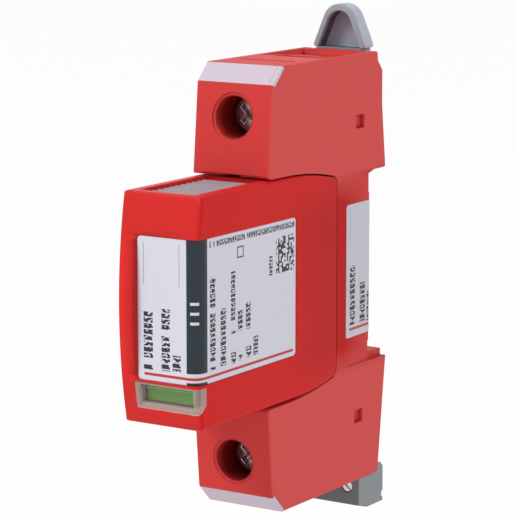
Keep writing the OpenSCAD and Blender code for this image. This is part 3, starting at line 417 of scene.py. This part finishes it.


def paintedSideShading(tree, look):  # painted light and shade on a broad side: a tone for how the side is lit, deepening to painted shade in its middle behind the front
    at = axes(tree)
    core = look["core"]
    middle = ramp(tree, core["height"], sizeOf(tree, at["Z"]), core["blend"])
    behind = ramp(tree, at["Y"], core["front"], core["depth"])
    broad = mixColor(tree, both(tree, middle, behind), linear(look["side"]), linear(core["color"]))
    onSide = ramp(tree, sizeOf(tree, at["X"]), sideFace["start"], sideFace["blend"])
    return mixColor(tree, onSide, linear(look["color"]), broad)


def paintedFrontShade(tree, look):  # painted shade: the faces that look forwards are coloured darker, as they lie in shade
    at = axes(tree)
    front = look["front"]
    ahead = both(tree, below(tree, at["Y"], front["limit"]), above(tree, at["Z"], front["above"]))
    return mixColor(tree, ahead, linear(look["color"]), linear(front["color"]))


def paintedMarginShading(tree, look, tone):  # painted light and shade on the front beside the label: a brighter strip, with painted shade along the label's edge
    at = axes(tree)
    margin = look["margin"]
    left, right = margin["span"]
    fall = ramp(tree, at["X"], right - margin["fall"], margin["fall"])
    strip = mixColor(tree, fall, linear(margin["color"]), linear(margin["shade"]))
    beside = both(tree, above(tree, at["X"], left), below(tree, at["X"], right))
    level = ramp(tree, margin["height"], sizeOf(tree, at["Z"]), margin["blend"])
    ahead = below(tree, at["Y"], margin["front"])
    return mixColor(tree, both(tree, beside, level, ahead), tone, strip)


# Painted shade deep in the two screw bores of the housing, darker further in
terminalHeight = 34.7  # of the screw axes, above and below the middle
boreShade = {"height": terminalHeight, "reach": 4.4, "mouth": -42.4, "depth": 6.5, "end": -12.0,
             "color": (120, 12, 12), "dull": 0.4}


def insideBores(tree, look):
    at = axes(tree)
    up = minus(tree, sizeOf(tree, at["Z"]), look["height"])
    away = vectorCalc(tree, "LENGTH", point(tree, at["X"], up))["Value"]
    inside = both(tree, below(tree, away, look["reach"]), below(tree, at["Y"], look["end"]))
    return both(tree, inside, ramp(tree, at["Y"], look["mouth"], look["depth"]))


# Shade in the hollow of the pull tab, which is open to the front, and on the sill below it
pocketShade = {"foot": 45.35, "height": 7.9, "halfWidth": 5.7, "lean": 0.4, "mouth": 1.5, "depth": 3.4,
               "ramp": 1.2, "floor": (168, 181, 196), "floorDepth": 0.15, "behind": 0.1,
               "wall": (86, 86, 93), "sill": (132, 132, 140), "sillSpan": (44.8, 45.5)}


def shadePocket(tree, look, color):
    at = axes(tree)
    rise = minus(tree, at["Z"], look["foot"])
    wall = minus(tree, look["halfWidth"], times(tree, rise, look["lean"]))
    rear = look["mouth"] + look["depth"]
    before = below(tree, at["Y"], rear + look["behind"])
    inside = both(tree, below(tree, sizeOf(tree, at["X"]), wall), before)
    level = both(tree, above(tree, rise, 0.0), below(tree, rise, look["height"]))
    hollow = both(tree, inside, level, ramp(tree, at["Y"], look["mouth"], look["ramp"]))
    onFloor = above(tree, at["Y"], rear - look["floorDepth"])
    shade = mixColor(tree, onFloor, linear(look["wall"]), linear(look["floor"]))
    low, high = look["sillSpan"]
    onSill = both(tree, inside, above(tree, at["Z"], low), below(tree, at["Z"], high))
    color = mixColor(tree, onSill, color, linear(look["sill"]))
    return mixColor(tree, hollow, color, shade)


# Fine groove across the upper marking strip, near its right end
stripSeam = {"place": 7.82, "width": 0.16, "color": (182, 164, 178)}


def onSeam(tree, look):
    at = axes(tree)
    off = sizeOf(tree, minus(tree, at["X"], look["place"]))
    return both(tree, below(tree, off, look["width"] / 2), above(tree, at["Z"], 0.0))


def finishPlastic(name, look):
    material, tree, shader = newMaterial(name)
    tone = linear(look["color"])
    if "side" in look:
        tone = paintedSideShading(tree, look)
    if "front" in look:
        tone = paintedFrontShade(tree, look)
    if "margin" in look:
        tone = paintedMarginShading(tree, look, tone)
    skin = placeSkin(tree, look, tone)
    edge = place(tree, edgeGroup, Radius=look["radius"], Gain=highlightGain)
    # paler colour along the edges: a painted highlight
    color = mixColor(tree, edge["Mask"], skin["Color"], linear(look["edge"]))
    roughness = skin["Roughness"]
    if name == "caseRed":
        # painted shade deep in the screw bores, also duller there
        bores = insideBores(tree, boreShade)
        color = mixColor(tree, bores, color, linear(boreShade["color"]))
        roughness = adjust(tree, bores, boreShade["dull"], roughness, clamp=True)
    if name == "markingWhite":
        color = mixColor(tree, onSeam(tree, stripSeam), color, linear(stripSeam["color"]))
    if name == "latchGrey":
        color = shadePocket(tree, pocketShade, color)
    put(tree, shader.inputs["Base Color"], color)
    put(tree, shader.inputs["Roughness"], roughness)
    shader.inputs["Specular IOR Level"].default_value = look["specular"]
    addBump(tree, shader, skin["Height"], look["bump"], normal=edge["Normal"])
    return material


finishes = {}
for name, look in plastics.items():
    finishes[look["slot"]] = finishPlastic(name, look)

# Metals: colour, direction of the drawn lines, gloss
metals = {
    "clampSteel": {"slot": "clamp_steel", "color": (186, 186, 184),
                   "stretch": (0.3, 5.0, 5.0), "rough": 0.36},
    "springSteel": {"slot": "spring_steel", "color": (170, 170, 170),
                    "stretch": (4.0, 4.0, 4.0), "rough": 0.28},
    "copperBar": {"slot": "copper", "color": (206, 132, 92), "stretch": (5.0, 0.4, 5.0), "rough": 0.32},
    "pinBrass": {"slot": "brass", "color": (206, 172, 98), "stretch": (5.0, 5.0, 0.4), "rough": 0.3},
}
lineDepth = 0.01  # of drawn lines and turned rings, in mm


def finishMetal(name, group, bump, **values):
    material, tree, shader = newMaterial(name)
    worked = place(tree, group, **values)
    put(tree, shader.inputs["Base Color"], worked["Color"])
    put(tree, shader.inputs["Roughness"], worked["Roughness"])
    shader.inputs["Metallic"].default_value = 1.0
    addBump(tree, shader, worked["Height"], bump, lineDepth)
    return material


for name, look in metals.items():
    finishes[look["slot"]] = finishMetal(
        name, drawnGroup, drawnLook["bump"],
        Color=linear(look["color"]), Stretch=look["stretch"], Rough=look["rough"])

# Screws: zinc plated and turned, one finish for each axis
terminalZinc = {"color": (196, 178, 184), "rough": 0.24}
signalZinc = {"color": (214, 214, 210), "rough": 0.3}
signalRow = {"height": -47.2, "pitch": 5.5}
screws = {
    "upperScrewSteel": ("upper_screw", (0.0, 0.0, terminalHeight), terminalZinc),
    "lowerScrewSteel": ("lower_screw", (0.0, 0.0, -terminalHeight), terminalZinc),
    "signalSteelLeft": ("signal_screw_1", (-signalRow["pitch"], 0.0, signalRow["height"]), signalZinc),
    "signalSteelMid": ("signal_screw_2", (0.0, 0.0, signalRow["height"]), signalZinc),
    "signalSteelRight": ("signal_screw_3", (signalRow["pitch"], 0.0, signalRow["height"]), signalZinc),
}
screwFinish = {}
for name, (node, centre, look) in screws.items():
    screwFinish[node] = finishMetal(
        name, turnedGroup, turnedLook["bump"],
        Color=linear(look["color"]), Centre=centre, Rough=look["rough"])

# Clear window: a polished polymer, clear in the middle and hazier in its stepped frame
windowLook = {"color": (222, 206, 200), "frame": (204, 188, 180), "edge": (246, 240, 236),
              "haze": 0.06, "frameHaze": 0.4, "highlightHaze": 0.55, "middle": (-4.5, 7.75, -18.2, -14.6),
              "mottle": 0.04, "grain": 1.5, "rough": 0.1, "spread": 0.08,
              "radius": 0.3, "highlightGain": 3.0, "index": 1.49}


def finishWindow(name, look):
    material, tree, shader = newMaterial(name)
    at = axes(tree)
    left, right, low, high = look["middle"]
    outside = either(tree, minus(tree, left, at["X"]), minus(tree, at["X"], right),
                     minus(tree, low, at["Z"]), minus(tree, at["Z"], high))
    inFrame = above(tree, outside, 0.0)
    skin = placeSkin(tree, look, mixColor(tree, inFrame, linear(look["color"]), linear(look["frame"])))
    edge = place(tree, edgeGroup, Radius=look["radius"], Gain=look["highlightGain"])
    # paler colour along the edges of the pane: a painted highlight
    color = mixColor(tree, edge["Mask"], skin["Color"], linear(look["edge"]))
    veil = adjust(tree, inFrame, look["frameHaze"], look["haze"])
    put(tree, shader.inputs["Base Color"], color)
    put(tree, shader.inputs["Roughness"], skin["Roughness"])
    # the painted highlight also makes the pane's edges less clear
    put(tree, shader.inputs["Alpha"], adjust(tree, edge["Mask"], look["highlightHaze"], veil, clamp=True))
    shader.inputs["IOR"].default_value = look["index"]
    return material


finishes["clear_window"] = finishWindow("clearWindow", windowLook)
print("plain finishes made:", len(finishes))

# Print of the module label, which stands for small print and spells nothing. Places are in mm.
# A row is low and high across it, start and end along it, and the pitch of its dashes
labelPrint = {
    "film": (224, 222, 234), "ink": (48, 46, 54), "stripe": (32, 46, 54), "rule": (196, 58, 56),
    "fineLine": (140, 138, 148), "frontBefore": -62.6, "sideBeyond": 8.4,
    "stripeLeft": 6.22, "stripeRear": -60.9, "stripeLow": -11.35, "stubHigh": -13.1,
    "ruleHeight": (-12.68, -12.08), "ruleLeft": -3.6, "ruleRear": -30.3,
    "lines": [(-3.74, -3.56, 5.1, 13.3), (4.49, 4.67, 5.3, 13.4)],
    "frontRows": [(-3.75, -1.55, -11.5, 1.1, 1.15), (0.4, 2.4, -11.4, 0.7, 1.1),
                  (2.95, 4.9, -11.3, -8.1, 1.05)],
    "stripeBars": {"across": (7.0, 8.45), "start": -1.9, "pitch": 1.9, "width": 0.6, "count": 3},
    "sideRows": [(-60.0, -58.1, -11.25, 6.85, 0.95), (-56.4, -54.5, -11.2, 0.2, 1.0),
                 (-52.8, -51.2, -5.4, 6.9, 0.9), (-52.8, -51.0, -11.3, -8.8, 1.25),
                 (-50.4, -48.6, -5.2, -0.1, 0.95), (-50.3, -48.8, -11.1, -9.9, 1.2),
                 (-47.6, -45.8, -5.3, 0.1, 0.95), (-47.6, -45.6, -11.1, -8.7, 1.2),
                 (-44.9, -43.1, -10.9, -7.1, 0.7), (-39.2, -37.9, 4.0, 7.9, 0.75)],
    "topRow": (12.55, 13.75, -60.2, -29.9, 0.62),
    "dotBlock": {"span": (-36.7, -30.0, 4.0, 11.3), "cell": 0.46},
    "boxFrame": {"span": (-50.6, -48.3, 9.2, 11.5), "border": 0.26},
}
filmLook = {"mottle": 0.03, "grain": 3.0, "rough": 0.42, "spread": 0.08, "specular": 0.35, "bump": 0.12}


def row(tree, across, along, low, high, start, end, pitch=1.0, fill=0.92):
    return place(tree, rowGroup, Across=across, Low=low, High=high, Along=along, Start=start, End=end,
                 Pitch=pitch, Fill=fill)["Mask"]


def bar(tree, across, along, low, high, start, end):  # a row without gaps
    return row(tree, across, along, low, high, start, end, fill=1.0)


def speckle(tree, first, second, cell, share=0.5):  # random dots in square cells
    column = calc(tree, "FLOOR", calc(tree, "DIVIDE", first, cell))
    line = calc(tree, "FLOOR", calc(tree, "DIVIDE", second, cell))
    return above(tree, chance(tree, column, line), share)


def finishFilm(tree, shader, look, color):
    skin = placeSkin(tree, look, color)
    put(tree, shader.inputs["Base Color"], skin["Color"])
    put(tree, shader.inputs["Roughness"], skin["Roughness"])
    shader.inputs["Specular IOR Level"].default_value = look["specular"]
    addBump(tree, shader, skin["Height"], look["bump"])


def printModuleLabel(name, look):
    material, tree, shader = newMaterial(name)
    at = axes(tree)
    x, y, z = at["X"], at["Y"], at["Z"]
    onFront = below(tree, y, look["frontBefore"])
    onSide = above(tree, x, look["sideBeyond"])
    aroundCorner = both(tree, above(tree, x, look["stripeLeft"]), below(tree, y, look["stripeRear"]))
    parts = either(tree, above(tree, z, look["stripeLow"]), below(tree, z, look["stubHigh"]))
    ruleEnds = both(tree, above(tree, x, look["ruleLeft"]), below(tree, y, look["ruleRear"]))
    ruled = both(tree, within(tree, z, *look["ruleHeight"]), ruleEnds)
    fineLines = either(tree, *[bar(tree, x, z, *line) for line in look["lines"]])
    ink = [both(tree, onFront, row(tree, x, z, *line)) for line in look["frontRows"]]
    ink += [both(tree, onSide, row(tree, y, z, *line)) for line in look["sideRows"]]
    ink.append(both(tree, onSide, row(tree, z, y, *look["topRow"])))
    block = look["dotBlock"]
    ink.append(both(tree, onSide, bar(tree, y, z, *block["span"]), speckle(tree, y, z, block["cell"])))
    left, right, low, high = look["boxFrame"]["span"]
    border = look["boxFrame"]["border"]
    outer = bar(tree, y, z, left, right, low, high)
    inner = bar(tree, y, z, left + border, right - border, low + border, high - border)
    ink.append(both(tree, onSide, calc(tree, "SUBTRACT", outer, inner, clamp=True)))
    bars = look["stripeBars"]
    starts = [bars["start"] + bars["pitch"] * number for number in range(bars["count"])]
    marks = [bar(tree, x, z, *bars["across"], start, start + bars["width"]) for start in starts]
    color = mixColor(tree, both(tree, onFront, fineLines), linear(look["film"]), linear(look["fineLine"]))
    color = mixColor(tree, either(tree, *ink), color, linear(look["ink"]))
    color = mixColor(tree, ruled, color, linear(look["rule"]))
    color = mixColor(tree, both(tree, aroundCorner, parts), color, linear(look["stripe"]))
    color = mixColor(tree, both(tree, onFront, either(tree, *marks)), color, linear(look["film"]))
    finishFilm(tree, shader, filmLook, color)
    return material


# Label on the side of the base, seen half behind the module; its inks are those of the other label, and its
# film is a shade darker than the other label's: painted shade, as it lies beside the module
baseLabelPrint = {
    "film": (208, 207, 217), "line": (-8.4, -8.2, 7.0, 13.4),
    "ruleHeight": (-12.35, -11.75), "ruleFront": -8.5,
    "rows": [(-8.4, -6.1, -11.2, 1.3, 1.15), (-4.1, -1.8, -11.3, -2.8, 1.05),
             (-1.1, -0.2, -11.4, -5.0, 0.9)],
}


def printBaseLabel(name, look, inks):
    material, tree, shader = newMaterial(name)
    at = axes(tree)
    y, z = at["Y"], at["Z"]
    rows = either(tree, *[row(tree, y, z, *line) for line in look["rows"]])
    ruled = both(tree, within(tree, z, *look["ruleHeight"]), above(tree, y, look["ruleFront"]))
    color = mixColor(tree, bar(tree, y, z, *look["line"]), linear(look["film"]), linear(inks["fineLine"]))
    color = mixColor(tree, rows, color, linear(inks["ink"]))
    color = mixColor(tree, ruled, color, linear(inks["rule"]))
    finishFilm(tree, shader, filmLook, color)
    return material


moduleFilm = printModuleLabel("moduleLabelFilm", labelPrint)
baseFilm = printBaseLabel("baseLabelFilm", baseLabelPrint, labelPrint)
print("label films printed")


def wear(obj, material):
    obj.data.materials.clear()
    obj.data.materials.append(material)


# Softened copies of the outer shells: merged, cleaned, and given moulded radii where edges catch the light.
# Lengths are in mm and angles in degrees
softening = {"merge": 0.0005, "flat": 0.05, "sharp": 38.0, "rim": 32.0, "cut": 0.0001, "level": 0.01,
             "rimLevel": 0.05, "slices": 4}


def roundEdge(bm, corner, first, second, radius):  # shaves an outer edge between two faces to a round
    centre = corner - (first + second) * radius / (1 + first.dot(second))
    for number in range(1, softening["slices"] + 1):
        normal = first.slerp(second, number / (softening["slices"] + 1))
        cut = bmesh.ops.bisect_plane(
            bm, geom=bm.verts[:] + bm.edges[:] + bm.faces[:], dist=softening["cut"] * mm,
            plane_co=centre + normal * radius, plane_no=normal, clear_outer=True)
        rim = [part for part in cut["geom_cut"] if isinstance(part, bmesh.types.BMEdge) and part.is_boundary]
        for face in bmesh.ops.edgeloop_fill(bm, edges=rim)["faces"]:
            face.normal_update()
            if face.normal.dot(normal) < 0:
                face.normal_flip()


def sideRims(bm, look):  # the long edges of a block at its top and bottom, on the sides it reaches
    low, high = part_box(look["node"])
    radius = look["radius"] * mm
    for height, up in ((low.z, -1), (high.z, 1)):
        for reach, side in ((low.x, -1), (high.x, 1)):
            if side in look["sides"]:
                roundEdge(bm, Vector((reach, 0, height)), Vector((side, 0, 0)), Vector((0, 0, up)), radius)


def hoodRims(bm, look):  # as above, and the edges where the bowed front meets the top and the bottom
    low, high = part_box(look["node"])
    radius = look["radius"] * mm
    corner = min(vert.co.y for vert in bm.verts if vert.co.z > high.z - softening["level"] * mm)
    bow, half = corner - low.y, high.z
    lean = math.asin(half / ((half ** 2 + bow ** 2) / (2 * bow)))
    sideRims(bm, dict(look, radius=look["sideRadius"]))
    for up in (-1, 1):
        forward = Vector((0, -math.cos(lean), up * math.sin(lean)))
        roundEdge(bm, Vector((0, corner, up * half)), forward, Vector((0, 0, up)), radius)


def stripEnds(bm, look):  # the two ends of the sloping face
    low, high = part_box(look["node"])
    radius = look["radius"] * mm
    slope = max(bm.faces, key=lambda face: face.calc_area())
    normal, middle = slope.normal.copy(), slope.calc_center_median()
    for reach, side in ((low.x, -1), (high.x, 1)):
        roundEdge(bm, Vector((reach, middle.y, middle.z)), Vector((side, 0, 0)), normal, radius)


def isRim(edge):
    return edge.calc_face_angle() > math.radians(softening["rim"])


def tabRims(bm, look):  # front and rear rims of the pull tab, from just above its lower corners
    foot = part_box("base_housing")[1].z + look["above"] * mm
    tab = [vert.co.y for vert in bm.verts if vert.co.z > foot]
    levels = (min(tab), max(tab))

    def onFace(vert):
        away = min(abs(vert.co.y - level) for level in levels)
        return vert.co.z > foot and away < softening["rimLevel"] * mm

    rims = [edge for edge in bm.edges if isRim(edge) and all(onFace(vert) for vert in edge.verts)]
    bmesh.ops.bevel(bm, geom=rims, offset=look["radius"] * mm, offset_type="OFFSET", affect="EDGES",
                    segments=3, profile=0.5, material=-1)


def allRims(bm, look):
    rims = [edge for edge in bm.edges if isRim(edge)]
    bmesh.ops.bevel(bm, geom=rims, offset=look["radius"] * mm, offset_type="OFFSET", affect="EDGES",
                    segments=2, profile=0.5, material=-1, clamp_overlap=True)


softened = {
    "baseShell": {"node": "base_housing", "body": "base", "slot": "case_red",
                  "shape": sideRims, "radius": 0.3, "sides": (-1,)},
    "baseCoverShell": {"node": "base_cover", "body": "base", "slot": "case_red",
                       "shape": sideRims, "radius": 0.3, "sides": (1,)},
    "upperStrip": {"node": "upper_marking_strip", "body": "base", "slot": "marking_white",
                   "shape": stripEnds, "radius": 0.25},
    "lowerStrip": {"node": "lower_marking_strip", "body": "base", "slot": "marking_white",
                   "shape": stripEnds, "radius": 0.25},
    "moduleHood": {"node": "module_housing", "body": "module", "slot": "module_red",
                   "shape": hoodRims, "radius": 0.6, "sideRadius": 0.95, "sides": (-1, 1)},
    "windowPane": {"node": "status_window", "body": "module", "slot": "clear_window",
                   "shape": allRims, "radius": 0.1, "shrink": 0.02},
    "upperPad": {"node": "upper_release_lever", "body": "upper_release_lever", "slot": "pad_grey"},
    "lowerPad": {"node": "lower_release_lever", "body": "lower_release_lever", "slot": "pad_grey"},
    "latchTab": {"node": "rail_latch", "body": "rail_latch", "slot": "latch_grey",
                 "shape": tabRims, "radius": 0.3, "above": 1.13},
    "plugShell": {"node": "signal_plug", "body": "signal_plug", "slot": "plug_grey"},
    "upperScrewHead": {"node": "upper_screw", "body": "upper_screw", "slot": "screw_steel",
                       "shape": allRims, "radius": 0.2},
    "lowerScrewHead": {"node": "lower_screw", "body": "lower_screw", "slot": "screw_steel",
                       "shape": allRims, "radius": 0.2},
    "signalScrewLeft": {"node": "signal_screw_1", "body": "signal_screw_1", "slot": "screw_steel",
                        "shape": allRims, "radius": 0.1},
    "signalScrewMid": {"node": "signal_screw_2", "body": "signal_screw_2", "slot": "screw_steel",
                       "shape": allRims, "radius": 0.1},
    "signalScrewRight": {"node": "signal_screw_3", "body": "signal_screw_3", "slot": "screw_steel",
                         "shape": allRims, "radius": 0.1},
    "latchCoil": {"node": "latch_spring", "slot": "spring_steel",
                  "between": ("base", "rail_latch"), "ends": (38.0, 25.0)},
    "upperLeverCoil": {"node": "upper_lever_spring", "slot": "spring_steel",
                       "between": ("module", "upper_release_lever"), "ends": (17.9, 20.3)},
    "lowerLeverCoil": {"node": "lower_lever_spring", "slot": "spring_steel",
                       "between": ("module", "lower_release_lever"), "ends": (-17.9, -20.3)},
    "indicatorCoil": {"node": "indicator_spring", "slot": "spring_steel",
                      "between": ("module", "indicator"), "ends": (14.0, 7.0)},
}


def soften(name, look):
    bm = bmesh.new()
    bm.from_mesh(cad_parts[look["node"]].data)
    bmesh.ops.remove_doubles(bm, verts=bm.verts, dist=softening["merge"] * mm)
    flat = math.radians(softening["flat"])
    bmesh.ops.dissolve_limit(bm, angle_limit=flat, verts=bm.verts, edges=bm.edges)
    if "shape" in look:
        look["shape"](bm, look)
    for vert in bm.verts:
        vert.co -= vert.normal * look.get("shrink", 0) * mm
    mesh = bpy.data.meshes.new(name)
    bm.to_mesh(mesh)
    bm.free()
    mesh.shade_smooth()
    mesh.set_sharp_from_angle(angle=math.radians(softening["sharp"]))
    piece = bpy.data.objects.new(name, mesh)
    scene.collection.objects.link(piece)
    evenNormals = piece.modifiers.new("evenNormals", "WEIGHTED_NORMAL")
    evenNormals.keep_sharp = True
    wear(piece, screwFinish.get(look["node"]) or finishes[look["slot"]])
    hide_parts(look["node"])
    if "between" in look:  # a coil is held at both ends, so it is attached to neither body and keeps its place baked into its mesh
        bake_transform(piece)
    else:
        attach(piece, look["body"])


for name, look in softened.items():
    soften(name, look)
print("outer shells softened:", len(softened))

# The pieces whose CAD shape is right wear their finish as they are
plainPieces = {
    "module_red": ["module_back_plate"],
    "copper": ["upper_contact", "lower_contact", "upper_blade", "lower_blade", "disconnector_arm"],
    "brass": ["signal_pins", "signal_receptacles"],
    "clamp_steel": ["upper_clamp", "lower_clamp", "signal_clamp_1", "signal_clamp_2", "signal_clamp_3"],
    "switch_black": ["signal_switch"],
    "ivory_plastic": ["switch_plunger", "indicator_slider"],
    "varistor_blue": ["varistor"],
    "flag_green": ["green_field"],
    "flag_red": ["red_field"],
}
for slot, nodes in plainPieces.items():
    for node in nodes:
        wear(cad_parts[node], finishes[slot])
wear(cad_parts["module_label"], moduleFilm)
wear(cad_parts["base_label"], baseFilm)
print("inner pieces finished")

# Studio: white surround for the eye and for reflections, softer level as light, and three large lamps.
# Lengths are in metres, lamp power in watts
studio = {
    "ambient": 0.5, "floorDrop": 0.035, "floorSize": 6.0, "floorColor": (0.9, 0.9, 0.9, 1),
    "floorRough": 0.9, "floorGlow": 0.95, "aim": (0, -0.03, 0),
    "lamps": {"key": {"place": (-0.6, -0.88, 1.0), "size": 0.5, "power": 8.8},
              "side": {"place": (1.1, -0.35, 0.45), "size": 0.8, "power": 2.7},
              "top": {"place": (0.0, 0.1, 1.2), "size": 0.7, "power": 1.2}},
}


def seenDirectly(tree):  # camera, glossy and transmission rays see plain white
    rays = tree.nodes.new("ShaderNodeLightPath").outputs
    return either(tree, rays["Is Camera Ray"], rays["Is Glossy Ray"], rays["Is Transmission Ray"])


def surround(name, look):
    world = bpy.data.worlds.new(name)
    world.use_nodes = True
    tree = world.node_tree
    background = tree.nodes["Background"]
    background.inputs["Color"].default_value = (1, 1, 1, 1)
    strength = adjust(tree, seenDirectly(tree), 1 - look["ambient"], look["ambient"])
    put(tree, background.inputs["Strength"], strength)
    return world


def floorFinish(name, look):
    material, tree, shader = newMaterial(name)
    shader.inputs["Base Color"].default_value = look["floorColor"]
    shader.inputs["Roughness"].default_value = look["floorRough"]
    shader.inputs["Specular IOR Level"].default_value = 0.0
    glow = tree.nodes.new("ShaderNodeEmission")
    blend = tree.nodes.new("ShaderNodeMixShader")
    put(tree, blend.inputs[0], times(tree, seenDirectly(tree), look["floorGlow"]))
    put(tree, blend.inputs[1], shader.outputs[0])
    put(tree, blend.inputs[2], glow.outputs[0])
    put(tree, tree.nodes["Material Output"].inputs["Surface"], blend.outputs[0])
    return material


def layFloor(name, look):
    bm = bmesh.new()
    bmesh.ops.create_grid(bm, x_segments=1, y_segments=1, size=look["floorSize"] / 2)
    bmesh.ops.translate(bm, verts=bm.verts, vec=(0, 0, cadBox[0][2] - look["floorDrop"]))
    mesh = bpy.data.meshes.new(name)
    bm.to_mesh(mesh)
    bm.free()
    mesh.materials.append(floorFinish("floorWhite", look))
    floor = bpy.data.objects.new(name, mesh)
    scene.collection.objects.link(floor)


def hangLamp(name, look, aim):
    lampData = bpy.data.lights.new(name, "AREA")
    lampData.size = look["size"]
    lampData.energy = look["power"]
    lamp = bpy.data.objects.new(name, lampData)
    lamp.location = look["place"]
    lamp.rotation_euler = (Vector(aim) - Vector(look["place"])).to_track_quat("-Z", "Y").to_euler()
    scene.collection.objects.link(lamp)


scene.world = surround("whiteStudio", studio)
layFloor("studioFloor", studio)
for name, look in studio["lamps"].items():
    hangLamp(name + "Lamp", look, studio["aim"])
print("studio lit")
